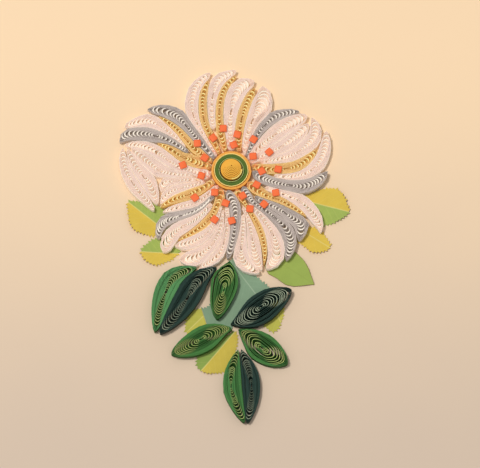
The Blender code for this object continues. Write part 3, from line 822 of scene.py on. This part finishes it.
@dataclass
class PinchedCoil:
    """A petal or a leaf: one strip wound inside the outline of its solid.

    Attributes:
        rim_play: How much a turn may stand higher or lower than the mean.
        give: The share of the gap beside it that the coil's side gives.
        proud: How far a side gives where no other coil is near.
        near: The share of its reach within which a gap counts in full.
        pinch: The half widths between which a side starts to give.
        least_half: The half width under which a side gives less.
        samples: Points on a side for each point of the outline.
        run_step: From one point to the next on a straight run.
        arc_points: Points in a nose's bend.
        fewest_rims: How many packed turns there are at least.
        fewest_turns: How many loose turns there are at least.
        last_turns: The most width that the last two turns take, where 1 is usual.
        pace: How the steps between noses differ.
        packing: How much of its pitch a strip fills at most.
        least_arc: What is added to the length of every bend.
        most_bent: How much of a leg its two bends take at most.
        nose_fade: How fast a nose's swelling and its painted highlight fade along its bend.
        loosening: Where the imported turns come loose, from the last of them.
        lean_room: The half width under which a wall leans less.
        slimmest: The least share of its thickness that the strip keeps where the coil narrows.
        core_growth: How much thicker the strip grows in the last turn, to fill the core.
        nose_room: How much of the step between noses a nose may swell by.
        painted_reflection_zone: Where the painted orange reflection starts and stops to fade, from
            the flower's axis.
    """

    node: bpy.types.Object
    paper: StripPaper
    winding: Winding
    seed: int
    rim_play: float = 0.07
    give: float = 0.33
    proud: float = 0.06
    near: float = 0.6
    pinch: tuple[float, float] = (0.2, 1.6)
    least_half: float = 0.4
    samples: int = 8
    run_step: float = 3.0
    arc_points: int = 7
    fewest_rims: int = 2
    fewest_turns: int = 3
    last_turns: float = 0.6
    pace: tuple[float, float] = (0.85, 1.15)
    packing: float = 0.9
    least_arc: float = 0.08
    most_bent: float = 0.94
    nose_fade: float = 0.7
    loosening: tuple[float, float] = (-0.6, 0.4)
    lean_room: float = 0.5
    slimmest: float = 0.55
    core_growth: float = 1.2
    nose_room: float = 0.55
    painted_reflection_zone: tuple[float, float] = (9.5, 20.0)

    def __post_init__(self) -> None:
        """Read the outline and its two sides from the solid."""
        solid = SolidReader(self.node)
        self.bottom = solid.bottom
        self.outline = solid.loops_at(solid.bottom)[0]
        anticlockwise = signed_area(self.outline) > 0
        left, right = self.sides(self.outline if anticlockwise else self.outline[::-1])
        self.left, self.right = spline(left, self.samples), spline(right, self.samples)
        self.measure()

    def measure(self) -> None:
        """Find the midline, the half width and the length from the two sides."""
        self.middle = (self.left + self.right) / 2
        self.half = (self.left - self.right) / 2
        self.half_widths = np.linalg.norm(self.half, axis=1)
        self.along = lengths(self.middle)
        self.length = float(self.along[-1])

    def sides(self, loop: np.ndarray) -> tuple[np.ndarray, np.ndarray]:
        """Split an outline at its two ends.

        Args:
            loop: The outline, anticlockwise.

        Returns:
            The left and the right side, both from the root to the tip.
        """
        count = len(loop)
        reach, blunt = divmod(count, 2)

        def root(tip: int) -> np.ndarray:
            """Return the end that lies across from a tip."""
            return (loop[(tip + reach) % count] + loop[(tip + reach + blunt) % count]) / 2

        tip = max(range(count), key=lambda index: np.linalg.norm(loop[index] - root(index)))
        # A leaf's tip is the end that lies further out to the side.
        is_leaf = self.node.name.startswith("leaf")
        if is_leaf and abs(loop[tip][0]) < abs(root(tip)[0]):
            tip = (tip + reach) % count
        left = np.array([loop[(tip + step) % count] for step in range(reach, -1, -1)])
        right = np.array([loop[(tip - step) % count] for step in range(reach, -1, -1)])
        return left, right

    def swell(self, others: list[np.ndarray]) -> None:
        """Let both sides give until they nearly touch the coils beside them.

        Args:
            others: The outlines of the other coils.
        """
        reach = self.winding.reach
        window = 9
        outward = self.half / np.maximum(self.half_widths, self.least_half)[:, None]
        moved = []
        for side, line in ((1.0, self.left), (-1.0, self.right)):
            apart = np.min([distance_to(line, outline) for outline in others], axis=0)
            far = smoothstep(self.near * reach, reach, apart)
            push = self.give * apart * (1 - far) + self.proud * far
            push *= smoothstep(*self.pinch, self.half_widths)
            push = np.convolve(np.pad(push, window // 2, mode="edge"),
                               np.full(window, 1 / window), mode="valid")
            moved.append(line + side * push[:, None] * outward)
        self.left, self.right = moved
        self.measure()

    def width(self, place: float | np.ndarray) -> np.ndarray:
        """Return the half width of the coil at places along it."""
        return np.interp(place, self.along, self.half_widths)

    def plan(self) -> None:
        """Settle where each turn lies at its sides and where its two ends are."""
        winding = self.winding
        random = np.random.default_rng(self.seed)
        self.widest = float(self.half_widths.max())
        own = np.random.default_rng(RIM_SEEDS + self.seed).random()
        self.rim = winding.rim * (1 - winding.rim_variety * own)
        self.rims = max(round(self.rim * self.widest / winding.rim_pitch), self.fewest_rims)
        left = self.length - 2 * self.rims * winding.rim_step - winding.least_turn
        turns = max(int(left / sum(winding.steps)), self.fewest_turns)
        self.turns = self.rims + turns
        loose = np.exp(random.normal(0.0, winding.unevenness, turns))
        loose[-2:] = np.minimum(loose[-2:], self.last_turns)
        loose /= loose.sum()
        inner = self.rim + (winding.fill - self.rim) * np.cumsum(loose)
        self.turn_share = np.concatenate((np.linspace(0.0, self.rim, self.rims + 1), inner))
        self.turn_share[-1] = max(self.turn_share[-1], winding.core)
        rim_noses = winding.rim_step * np.arange(self.rims + 1)
        self.ends = []
        # A nose's step is half even, and half goes by its turn's width.
        for step in winding.steps:
            pace = (0.5 / turns + 0.5 * loose) * random.uniform(*self.pace, turns)
            reach = left * step / sum(winding.steps)
            noses = rim_noses[-1] + reach * np.cumsum(pace) / pace.sum()
            self.ends.append(np.concatenate((rim_noses, noses)))
        self.lean_side = random.choice((-1.0, 1.0)) * random.uniform(0.5, 1.0)
        self.play = random.uniform(-self.rim_play, self.rim_play, self.turns + 1)
        room = self.packing * self.widest
        self.rim_thickness = min(winding.thickest, room * self.rim / self.rims)
        self.loose_thickness = min(winding.thickest, room * (winding.fill - self.rim) / turns)

    def at_turn(self, turn: float | np.ndarray, values: np.ndarray) -> np.ndarray:
        """Read a value that is settled for each whole turn."""
        return np.interp(turn, np.arange(self.turns + 1), values)

    def leg(self, number: int) -> tuple[np.ndarray, ...]:
        """Draw the strip from one end of the coil to the other.

        Args:
            number: Which leg it is, from the outside in; even ones run towards the tip.

        Returns:
            The path of the strip's upper edge, that of its foot, how much each point belongs to
            a nose, which is also the strength of its painted highlight, each point's turn and its
            place along the coil.
        """
        winding = self.winding
        outward = number % 2 == 0
        side = 1.0 if outward else -1.0
        turns = (number / 2, (number + 1) / 2) if outward else ((number + 1) / 2, number / 2)
        start = float(self.at_turn(turns[0], self.ends[0]))
        end = self.length - float(self.at_turn(turns[1], self.ends[1]))
        widths = [float(self.width(place) * (1 - self.at_turn(turn, self.turn_share)))
                  for place, turn in zip((start, end), turns)]
        arcs = [winding.arc * width + self.least_arc for width in widths]
        squeeze = min(1.0, self.most_bent * (end - start) / sum(arcs))
        root, tip = (arc * squeeze for arc in arcs)
        straight = np.arange(start + root, end - tip, self.run_step)[1:]

        def joined(first: np.ndarray, run: float | np.ndarray, last: np.ndarray) -> np.ndarray:
            """Join what holds at the root's bend, on the straight and at the tip's bend."""
            return np.concatenate((first, np.full(len(straight), run), last[::-1]))

        angles = np.linspace(0.0, math.pi / 2, self.arc_points)
        bend, near = np.cos(angles), np.cos(angles) ** self.nose_fade
        place = joined(start + root * (1 - bend), straight, end - tip * (1 - bend))
        open_share = joined(np.sin(angles), 1.0, np.sin(angles))
        turn = turns[0] + (turns[1] - turns[0]) * (place - start) / (end - start)
        share = self.at_turn(turn, self.turn_share)
        loose = smoothstep(*self.loosening, turn - self.rims)
        inward = np.clip((turn - self.rims) / (self.turns - self.rims), 0.0, 1.0)
        # A nose's weight sets both its swelling and its painted highlight, which dims inwards.
        nose = joined(near, 0.0, near) * loose * (1.0 - winding.highlight_dimming * np.sqrt(inward))
        lateral = winding.lean * self.lean_side * share + side * (1 - share) * open_share
        shift = loose * joined(self.end_lean(0, start, turns[0]) * bend, 0.0,
                               self.end_lean(1, end, turns[1]) * bend)
        pitch = self.width(place) * (self.at_turn(turn + 1, self.turn_share) - share)
        sideways = side * read_line(place, self.along, self.half)
        lean = self.lean(sideways, pitch) * loose * open_share
        foot = lateral + side * lean / np.maximum(self.width(place), self.lean_room)
        leg = (self.spot(place, lateral), self.spot(place + shift, foot), nose, turn, place)
        return leg if outward else tuple(part[::-1] for part in leg)

    def lean(self, outward: np.ndarray, gap: float | np.ndarray) -> np.ndarray:
        """Lean a wall over the gap beside it, so that its lit face shows in the photograph.

        Args:
            outward: The direction in which the wall faces out, seen from above.
            gap: How wide the gap is.

        Returns:
            How far the foot lies beyond the upper edge, in that direction.
        """
        away = outward[..., 1] / np.maximum(np.linalg.norm(outward, axis=-1), TINY)
        inside = outward @ FAR_SIDE > 0
        seen = np.where((away > 0) == inside, 1.0, -1.0) * np.abs(away)
        lean = np.maximum(self.winding.cover * gap - VIEW_LEAN * STRIP_HEIGHT * seen, 0.0)
        return np.where(inside, -lean, lean)

    def end_lean(self, end: int, place: float, turn: float) -> float:
        """Lean a nose.

        Args:
            end: 0 at the root, 1 at the tip.
            place: How far along the coil the nose lies.
            turn: Its turn.

        Returns:
            How far along the coil the foot lies beyond the upper edge.
        """
        towards = (-1.0, 1.0)[end]
        before, after = (read_line(place + offset, self.along, self.middle)
                         for offset in (-0.5, 0.5))
        here, following = (float(self.at_turn(turn + later, self.ends[end])) for later in (0, 1))
        gap = max(following - here, 0.5 * self.winding.steps[end])
        return towards * float(self.lean(towards * (after - before), gap))

    def spot(self, place: np.ndarray, lateral: np.ndarray) -> np.ndarray:
        """Return the spots at places along the coil, so many half widths to its side."""
        return (read_line(place, self.along, self.middle)
                + lateral[:, None] * read_line(place, self.along, self.half))

    def build(self) -> None:
        """Wind the strip and replace the solid by it."""
        self.plan()
        winding = self.winding
        legs = [self.leg(number) for number in range(2 * self.turns)]
        path, foot, nose, turn, place = [np.concatenate([values[:-1] for values in part])
                                         for part in zip(*legs)]
        outermost = turn < 1.0
        # The outermost turn also takes some of the painted highlight.
        nose = np.maximum(nose, winding.outer_highlight * outermost)
        is_loose = self.at_turn(turn, self.turn_share) > self.rim
        thickness = np.where(is_loose, self.loose_thickness, self.rim_thickness)
        thickness = thickness * np.clip(self.width(place) / self.widest, self.slimmest, 1.0)
        if winding.core:
            last = np.clip(turn - self.turns + 1.0, 0.0, 1.0)
            thickness = thickness * (1.0 + self.core_growth * last)
        swell = min(winding.swell * winding.thickest, self.nose_room * min(winding.steps))
        top = self.bottom + STRIP_HEIGHT - self.rim_play + self.at_turn(turn, self.play)
        # How much of the painted reflection each point takes, fading away from the flower's axis.
        painted_reflection = 1.0 - smoothstep(*self.painted_reflection_zone, np.linalg.norm(path, axis=1))
        # Every wall of a pinched coil is marked to give off the painted glow.
        ribbon = Ribbon(f"{self.node.name}_coil", path, foot,
                        thickness + swell * nose * ~outermost, self.bottom, top,
                        {"nose": nose, "inner": np.ones(len(path)), "warm": painted_reflection})
        add_piece(ribbon.mesh(), self.paper, self.node.name)


@dataclass
class RoundCoil:
    """A round coil: one strip wound from one radius out to another.

    Attributes:
        inner: Its inner radius, 0 for a coil that is wound up tight.
        outer: Its outer radius.
        height: The height of its outer edge.
        rise: How far its middle stands above its edge.
        fullness: The strip's thickness as a share of the turns' pitch.
        wobble: How far the turns stray from round.
        ledge: The width of the flat edge round a dome, which takes the painted highlight of a
            nose.
        drift: How far its middle lies off the axis.
        rim_play: How much a turn may stand higher or lower than the mean.
        steps: Points in a turn.
        core: The radius of a tight coil's first turn, as a share of the pitch.
        core_room: How thick the strip may be there, as a share of the radius.
    """

    name: str
    paper: StripPaper
    inner: float
    outer: float
    turns: int
    height: float
    seed: int
    rise: float = 0.0
    fullness: float = 0.86
    wobble: float = 0.0
    ledge: float = 0.0
    drift: float = 0.0
    rim_play: float = 0.05
    steps: int = 72
    core: float = 0.25
    core_room: float = 1.9

    def build(self, *nodes: str) -> None:
        """Wind the strip.

        Args:
            nodes: The nodes that it replaces.
        """
        random = np.random.default_rng(self.seed)
        pitch = (self.outer - self.inner) / self.turns
        turn = np.linspace(0.0, self.turns, self.turns * self.steps + 1)
        angle = 2 * math.pi * turn
        first = self.inner + (0.5 if self.inner else self.core) * pitch
        radius = first + (self.outer - pitch / 2 - first) * turn / self.turns
        if self.wobble:
            lobes = sum(random.uniform(-1, 1) * np.sin(lobe * angle + lobe)
                        for lobe in (2, 3, 5))
            radius = radius + self.wobble * lobes * np.sin(math.pi * turn / self.turns)
        path = np.column_stack((radius * np.cos(angle), radius * np.sin(angle)))
        path[:, 1] += self.drift * (1 - radius / self.outer)
        play = np.interp(turn, np.arange(self.turns + 1),
                         random.uniform(-self.rim_play, self.rim_play, self.turns + 1))
        # The flat ledge round the dome takes the pale nose colour, a painted highlight.
        domed = self.outer - self.ledge
        bulge = np.clip(1 - (radius / domed) ** 2, 0.0, 1.0)
        top = self.height + self.rise * bulge - self.rim_play + play
        thickness = np.minimum(self.fullness * pitch, self.core_room * radius)
        # All turns of a round coil but the outermost are marked to give off the painted glow.
        ribbon = Ribbon(self.name, path, path, thickness, 0.0, top,
                        {"nose": radius > domed, "inner": turn < self.turns - 1})
        add_piece(ribbon.mesh(), self.paper, *nodes)


@dataclass
class Centre:
    """The three round coils at the heart of the flower, and the green one's two thin trims."""

    dome: bpy.types.Object
    green: bpy.types.Object
    orange: bpy.types.Object
    dome_turns: int = 8
    green_turns: int = 4
    trim_turns: int = 2
    orange_turns: int = 4
    inner_trim: float = 0.35
    outer_trim: float = 0.45
    trim_inset: float = 0.15
    dome_ledge: float = 0.45
    dome_drift: float = 1.3

    def measure(self, node: bpy.types.Object) -> tuple[float, float, float, float]:
        """Measure the solid of a round coil.

        Args:
            node: The solid.

        Returns:
            The inner radius, the outer radius, the height of the outer edge and the full height.
        """
        solid = SolidReader(node)
        radius = np.linalg.norm(solid.spots[:, :2], axis=1)
        outer = float(radius.max())
        edge = float(solid.spots[radius > outer - FLAT, 2].max())
        return float(radius.min()), outer, edge, solid.top

    def build(self) -> None:
        """Wind the dome, the green ring with its pale trims, and the loose orange ring."""
        _, radius, height, top = self.measure(self.dome)
        RoundCoil("dome_coil", Strip.DOME.value, 0.0, radius, self.dome_turns, height, seed=3,
                  rise=top - height, fullness=0.84, ledge=self.dome_ledge,
                  drift=self.dome_drift, rim_play=0.04).build(self.dome.name)
        inner, outer, height, _ = self.measure(self.green)
        band, outer = inner + self.inner_trim, outer - self.trim_inset
        rim = outer + self.outer_trim
        RoundCoil("green_ring_inner_trim", Strip.RING_PALE.value, inner, band, self.trim_turns,
                  height, seed=4).build()
        RoundCoil("green_ring_coil", Strip.RING_GREEN.value, band, outer, self.green_turns,
                  height, seed=5).build(self.green.name)
        RoundCoil("green_ring_outer_trim", Strip.RING_YELLOW.value, outer, rim,
                  self.trim_turns, height, seed=6, fullness=0.95).build()
        _, outer, height, _ = self.measure(self.orange)
        RoundCoil("orange_ring_coil", Strip.RING_ORANGE.value, rim, outer, self.orange_turns,
                  height, seed=7, fullness=0.78, wobble=0.03).build(self.orange.name)


@dataclass
class Stamens:
    """The squares of red paper that stand on dabs of glue.

    Attributes:
        carriers: The coils' solids, some of which carry stamens.
        corner: How much the corners are rounded.
        grid: Faces along a square's edge.
        curl: How far a square may bend down at two of its edges.
        droop: How far every edge bends down.
        dab_radius: The radius of a dab's foot.
        dab_waist: The radius of its waist, as a share of that.
        dab_sides: How many sides it has.
        edge_zone: Where a square's deeper edge starts and ends, in half widths.
    """

    carriers: list[bpy.types.Object]
    thickness: float = 0.24
    corner: float = 0.0625
    grid: int = 8
    curl: float = 0.22
    droop: float = 0.04
    dab_radius: float = 0.75
    dab_waist: float = 0.55
    dab_sides: int = 14
    edge_zone: tuple[float, float] = (0.75, 1.05)

    def build(self) -> None:
        """Make every stamen that the petals' solids carry."""
        number = 0
        for carrier in self.carriers:
            solid = SolidReader(carrier)
            floor = solid.bottom + STRIP_HEIGHT
            if solid.top < floor + FLAT:
                continue
            for loop in solid.loops_at(solid.top):
                number += 1
                self.square(number, loop, solid.top)
                self.dab(number, loop.mean(axis=0), floor, solid.top - self.thickness)

    def square(self, number: int, loop: np.ndarray, top: float) -> None:
        """Make one curled square with rounded corners.

        Args:
            number: The stamen's number.
            loop: The corners of its solid.
            top: The height of its upper face.
        """
        centre = loop.mean(axis=0)
        towards = loop[0] - centre
        half = np.linalg.norm(towards) / math.sqrt(2.0)
        turn = math.atan2(towards[1], towards[0]) - math.pi / 4
        random = np.random.default_rng(STAMEN_SEEDS + number)
        lift = self.curl * random.uniform(0.4, 1.0)
        bend = random.uniform(0, math.pi)
        work = bmesh.new()
        bmesh.ops.create_grid(work, x_segments=self.grid, y_segments=self.grid, size=1.0)
        for vertex in work.verts:
            x, y = vertex.co.x, vertex.co.y
            edge = max(abs(x), abs(y))
            size = half * (1.0 - self.corner * abs(x * y) ** 4)
            across = x * math.cos(bend) + y * math.sin(bend)
            vertex.co = Vector((x * size, y * size,
                                -lift * across ** 2 - self.droop * edge ** 4))
        bmesh.ops.solidify(work, geom=work.faces[:], thickness=self.thickness)
        highest = max(vertex.co.z for vertex in work.verts)
        place = Matrix.Translation((*centre, top - highest)) @ Matrix.Rotation(turn, 4, "Z")
        mesh = finished_mesh(work, f"stamen_{number:02d}", place)
        spots = rotate(flat_spots(mesh) - centre, -turn)
        store(mesh, "edge", smoothstep(*self.edge_zone, np.abs(spots).max(axis=1) / half))
        smooth(mesh, STRIP_CREASE)
        add_piece(mesh, RED_PAPER)

    def dab(self, number: int, centre: np.ndarray, floor: float, top: float) -> None:
        """Make the dab of glue under one stamen.

        Args:
            number: The stamen's number.
            centre: Where it stands.
            floor: The height of its foot.
            top: The height of the square's underside.
        """
        rise = top - floor
        profile = ((0.0, -0.3), (1.1, -0.1), (1.0, 0.1 * rise), (self.dab_waist, 0.5 * rise),
                   (0.8, 0.9 * rise), (0.7, rise), (0.0, rise))
        work = bmesh.new()
        spots = [work.verts.new((radius * self.dab_radius, 0.0, floor + height))
                 for radius, height in profile]
        for start, end in zip(spots, spots[1:]):
            work.edges.new((start, end))
        bmesh.ops.spin(work, geom=work.verts[:] + work.edges[:], cent=(0, 0, 0),
                       axis=(0, 0, 1), angle=2 * math.pi, steps=self.dab_sides)
        bmesh.ops.remove_doubles(work, verts=work.verts, dist=1e-4)
        place = Matrix.Translation((*centre, 0.0))
        mesh = finished_mesh(work, f"stamen_dab_{number:02d}", place)
        mesh.shade_smooth()
        add_piece(mesh, DRIED_GLUE)


@dataclass
class CutLeaf:
    """A leaf cut from flat paper, creased along its midrib.

    Attributes:
        node: The solid that its outline is read from.
        tip: The tip of its midrib.
        root: The root of its midrib.
        keep: Planes, each a spot and a direction, and the sheet is kept on that side of them.
        label: What the piece's name ends in.
        replaces: Whether it replaces the solid.
        tooth_pitch: From one tooth to the next.
        tooth_depth: The depth of the deepest.
        tooth_slant: Where a tooth's tip lies, as a share of the pitch.
        look_ahead: How far along the edge its direction is read.
        plain_pitch: Twice the step along an edge without teeth.
        samples: Points on the edge for each point of the outline.
        rest: How far it lies above the bottom of its solid.
        cell: The size of the cells that it bends by.
        crease: How far it rises from the midrib to the crease's width.
        crease_width: How far from the midrib it goes on rising.
        curl: How far its free parts rise besides.
        free_zone: From where to where it comes free, away from the coils that cover it.
    """

    node: bpy.types.Object
    paper: SheetPaper
    tip: Spot
    root: Spot
    toothed: bool = True
    keep: tuple[tuple[float, float, float, float], ...] = ()
    label: str = "sheet"
    replaces: bool = True
    tooth_pitch: float = 1.5
    tooth_depth: float = 1.3
    tooth_slant: float = 0.78
    look_ahead: float = 0.3
    plain_pitch: float = 1.0
    samples: int = 10
    thickness: float = 0.22
    rest: float = 0.03
    cell: float = 1.5
    crease: float = 0.7
    crease_width: float = 6.0
    curl: float = 0.45
    free_zone: tuple[float, float] = (0.8, 9.0)

    def base_line(self) -> np.ndarray:
        """Return the smooth outline inside the teeth, anticlockwise."""
        solid = SolidReader(self.node)
        self.bottom = solid.bottom
        loop = solid.loops_at(solid.bottom)[0]
        if signed_area(loop) < 0:
            loop = loop[::-1]
        if self.toothed:
            loop = min((loop[::2], loop[1::2]), key=signed_area)
        return spline(loop, self.samples, closed=True)

    def cut(self) -> np.ndarray:
        """Cut the teeth into the outline.

        Returns:
            The corners of the cut outline.
        """
        line = self.base_line()
        closed = np.vstack((line, line[:1]))
        along = lengths(closed)
        round_length = along[-1]
        pitch = self.tooth_pitch if self.toothed else self.plain_pitch
        peak = (self.tooth_slant, self.tooth_depth) if self.toothed else (0.5, 0.0)
        count = int(round_length / pitch)
        random = np.random.default_rng(len(self.node.name))
        corners = []
        for tooth in range(count):
            for share, out in ((0.0, 0.0), peak):
                depth = out * random.uniform(0.4, 1.0)
                at = round_length * (tooth + share) / count
                here = read_line(at, along, closed)
                later = (at + self.look_ahead) % round_length
                ahead = read_line(later, along, closed) - here
                ahead /= max(np.linalg.norm(ahead), TINY)
                corners.append(here + depth * np.array((ahead[1], -ahead[0])))
        return np.array(corners)

    def build(self, covers: list[np.ndarray]) -> None:
        """Cut the sheet, crease and curl it, and give it its thickness.

        Args:
            covers: The outlines of the coils that may lie on it.
        """
        root, tip = np.array(self.root), np.array(self.tip)
        ahead = (tip - root) / np.linalg.norm(tip - root)
        left = np.array((-ahead[1], ahead[0]))
        corners = self.cut()
        work = self.flat_work(corners, root, ahead, left)
        spots = np.array([tuple(vertex.co) for vertex in work.verts])[:, :2]
        free = self.freedom(spots, covers)
        across = np.minimum(np.abs((spots - root) @ left), self.crease_width)
        rise = free * (self.crease * across / self.crease_width
                       + self.curl * smoothstep(0.0, 1.0, free))
        for vertex, height in zip(work.verts, rise):
            vertex.co.z = self.bottom + self.thickness + self.rest + float(height)
        bmesh.ops.solidify(work, geom=work.faces[:], thickness=self.thickness)
        mesh = finished_mesh(work, f"{self.node.name}_{self.label}", Matrix())
        spots = flat_spots(mesh)
        store(mesh, "across", (spots - root) @ left)
        store(mesh, "along", (spots - root) @ ahead)
        # The rim weight marks where the painted shade along the cut edge lies.
        if self.paper.rim:
            inset = distance_to(spots, corners)
            store(mesh, "rim", 1.0 - smoothstep(0.0, self.paper.rim, inset))
        smooth(mesh, SHEET_CREASE)
        add_piece(mesh, self.paper, *((self.node.name,) if self.replaces else ()))

    def flat_work(self, corners: np.ndarray, root: np.ndarray, ahead: np.ndarray,
                  left: np.ndarray) -> bmesh.types.BMesh:
        """Lay the flat sheet and divide it into cells that can bend.

        Args:
            corners: The corners of the cut outline.
            root: The root of the midrib.
            ahead: The midrib's direction.
            left: The direction across it.

        Returns:
            The sheet.
        """
        work = bmesh.new()
        face = work.faces.new([work.verts.new((x, y, 0.0)) for x, y in corners])
        face.normal_update()
        if face.normal.z < 0:
            face.normal_flip()
        # An inset band along the edge holds the painted shade of the rim.
        if self.paper.rim:
            bmesh.ops.inset_region(work, faces=[face], thickness=self.paper.rim,
                                   use_boundary=True, use_even_offset=True)
        for plane in self.keep:
            slice_sheet(work, plane[:2], plane[2:], clear=True)
        slice_sheet(work, root, left)
        reach = float(np.abs(corners - root).max()) * 1.5
        for offset in np.arange(-reach, reach, self.cell):
            slice_sheet(work, root + offset * ahead, ahead)
            if abs(offset) > self.cell / 2:
                slice_sheet(work, root + offset * left, left)
        bmesh.ops.triangulate(work, faces=work.faces[:])
        return work

    def freedom(self, spots: np.ndarray, covers: list[np.ndarray]) -> np.ndarray:
        """Weigh how far each spot lies from the coils that hold the sheet down.

        Args:
            spots: The spots.
            covers: The coils' outlines.

        Returns:
            0 under a coil, rising to 1 well away from all of them.
        """
        free = np.ones(len(spots))
        for outline in covers:
            apart = distance_to(spots, outline)
            apart[contains(spots, outline)] = 0.0
            free = np.minimum(free, smoothstep(*self.free_zone, apart))
        return free


def slice_sheet(work: bmesh.types.BMesh, spot: Spot | np.ndarray, towards: Spot | np.ndarray,
                clear: bool = False) -> None:
    """Cut a flat sheet along an upright plane, or clear what lies behind it."""
    bmesh.ops.bisect_plane(work, geom=work.verts[:] + work.edges[:] + work.faces[:],
                           dist=1e-4, plane_co=(*spot, 0.0), plane_no=(*towards, 0.0),
                           clear_inner=clear)


@dataclass
class Studio:
    """The pale floor, the light and the camera.

    Lengths are in metres, but for the sensor and for where the painted falloff of light starts to
    darken the floor down the picture and the length over which it does, which are in millimetres.
    """

    target: Vector = field(default_factory=lambda: Vector((3.9, -29.4, 3.0)) * MM)
    elevation: float = 75.0
    distance: float = 4.5
    picture_width: float = 0.2135
    sensor: float = 36.0
    floor_size: float = 3.0
    floor_drop: float = 0.0001
    painted_falloff_start: float = 65.0
    painted_falloff_length: float = 215.0
    key_place: Vector = field(default_factory=lambda: Vector((-0.85, 0.3, 2.75)))
    key_size: float = 0.5
    key_power: float = 50.5
    key_colour: Colour = (1.0, 0.97, 0.93)
    sky: float = 0.475
    sky_colour: Colour = (1.0, 0.97, 0.94)

    def build(self) -> None:
        """Set up the studio."""
        self.floor()
        self.light()
        self.camera()

    def floor(self) -> None:
        """Lay the pale peach floor, with painted shade that darkens it down the picture."""
        bpy.ops.mesh.primitive_plane_add(size=self.floor_size,
                                         location=(0.0, 0.0, -self.floor_drop))
        plane = bpy.context.active_object
        plane.name = "floor"
        tree = Tree("peach_floor")
        grain = tree.noise(tree.place(), size=0.9, detail=4.0)
        cloud = tree.noise(tree.place(), size=60.0)
        down = tree.node("ShaderNodeSeparateXYZ", {}, {0: tree.place()}, "Y")
        # Painted shade: the floor darkens down the picture, for the lamp's light falling off.
        painted_falloff = (self.painted_falloff_start - down) / self.painted_falloff_length
        share = (painted_falloff + (cloud - 0.5) * 0.12 + (grain - 0.5) * 0.04).ramp(0.0, 1.0)
        colour = tree.mix(share, srgb(245, 217, 181), srgb(209, 191, 173))
        plane.data.materials.append(tree.surface(colour, roughness=0.9, specular=0.1))
        plane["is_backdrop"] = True

    def light(self) -> None:
        """Hang one soft lamp to the upper left, and give the world a plain glow."""
        lamp = bpy.data.lights.new("key", "AREA")
        lamp.shape = "DISK"
        lamp.size = self.key_size
        lamp.energy = self.key_power
        lamp.color = self.key_colour
        self.aim(bpy.data.objects.new("key", lamp), self.key_place)
        world = bpy.data.worlds.new("soft_room")
        world.use_nodes = True
        glow = world.node_tree.nodes["Background"]
        glow.inputs["Color"].default_value = (*self.sky_colour, 1.0)
        glow.inputs["Strength"].default_value = self.sky
        bpy.context.scene.world = world

    def camera(self) -> None:
        """Look down on the flower from the photograph's angle."""
        eye = bpy.data.cameras.new("camera")
        eye.sensor_width = self.sensor
        eye.lens = self.sensor * self.distance / self.picture_width
        eye.clip_start = 0.01
        tilt = math.radians(self.elevation)
        towards = Vector((0.0, -math.cos(tilt), math.sin(tilt)))
        seat = bpy.data.objects.new("camera", eye)
        self.aim(seat, self.target + self.distance * towards)
        bpy.context.scene.camera = seat

    def aim(self, thing: bpy.types.Object, place: Vector) -> None:
        """Put the lamp or the camera into the scene and point it at the flower.

        Args:
            thing: The lamp or the camera.
            place: Where it goes.
        """
        thing.location = place
        thing.rotation_euler = (self.target - place).to_track_quat("-Z", "Y").to_euler()
        bpy.context.scene.collection.objects.link(thing)


@dataclass
class Flower:
    """The whole quilled flower."""

    nodes: dict[str, bpy.types.Object]

    def coil(self, name: str, seed: int) -> PinchedCoil:
        """Choose a pinched coil's paper and winding by its node's name."""
        strip, style = next((strip, style) for word, strip, style in COIL_STYLES if word in name)
        return PinchedCoil(self.nodes[name], strip.value, style.value, seed)

    def build(self) -> None:
        """Dress every node."""
        coils = [self.coil(name, seed) for seed, name in enumerate(sorted(self.nodes))
                 if name.startswith(("petal", "leaf"))]
        for coil in coils:
            coil.swell([other.outline for other in coils if other is not coil])
            coil.build()
        Stamens([coil.node for coil in coils]).build()
        Centre(self.nodes["centre_dome_yellow"], self.nodes["centre_ring_green"],
               self.nodes["centre_ring_orange"]).build()
        self.cut_leaves([coil.outline for coil in coils])

    def cut_leaves(self, covers: list[np.ndarray]) -> None:
        """Cut the flat leaves.

        Args:
            covers: The outlines of the coils that lie on them.
        """
        teal = self.nodes["cut_leaf_teal"]
        leaves = (
            CutLeaf(self.nodes["cut_leaf_left_upper"], Sheet.GREEN_YELLOW.value,
                    (-45.4, -14.3), (-33.8, -23.5)),
            CutLeaf(self.nodes["cut_leaf_left_lower"], Sheet.GREEN_YELLOW.value,
                    (-39.9, -36.9), (-31.0, -37.3)),
            CutLeaf(self.nodes["cut_leaf_right_upper"], Sheet.YELLOW_GREEN.value,
                    (52.3, -18.5), (37.6, -14.5)),
            CutLeaf(self.nodes["cut_leaf_right_lower"], Sheet.YELLOW.value,
                    (43.7, -34.9), (33.0, -28.0)),
            CutLeaf(self.nodes["cut_leaf_plain"], Sheet.PLAIN.value,
                    (36.9, -51.9), (22.0, -42.0), toothed=False, curl=0.2),
            CutLeaf(self.nodes["cut_leaf_bottom"], Sheet.SHADED.value,
                    (-12.8, -90.9), (1.4, -73.8)),
            CutLeaf(teal, Sheet.TEAL.value, (10.0, -55.1), (3.8, -46.7),
                    keep=((-12.0, -66.5, 0.95, 0.3), (16.0, -66.0, -0.95, 0.3))),
            CutLeaf(teal, Sheet.LIME.value, (-19.5, -73.5), (-12.0, -66.0),
                    keep=((-12.2, -66.5, -0.95, -0.3),), label="left_sheet", replaces=False),
            CutLeaf(teal, Sheet.LIME.value, (22.5, -70.0), (17.0, -60.0),
                    keep=((16.2, -66.0, 0.95, -0.3),), label="right_sheet", replaces=False),
        )
        for leaf in leaves:
            leaf.build(covers)


def corners() -> list[list[float]]:
    """Return the object's box as plain lists."""
    return [[float(value) for value in corner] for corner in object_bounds()]


def main() -> None:
    """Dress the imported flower, light it and look at it."""
    logging.basicConfig(level=logging.INFO, format="%(name)s: %(message)s")
    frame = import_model()
    bpy.context.scene.view_settings.view_transform = "Standard"
    Flower(frame["nodes"]).build()
    Studio().build()
    bpy.context.view_layer.update()


if __name__ == "__main__":
    main()
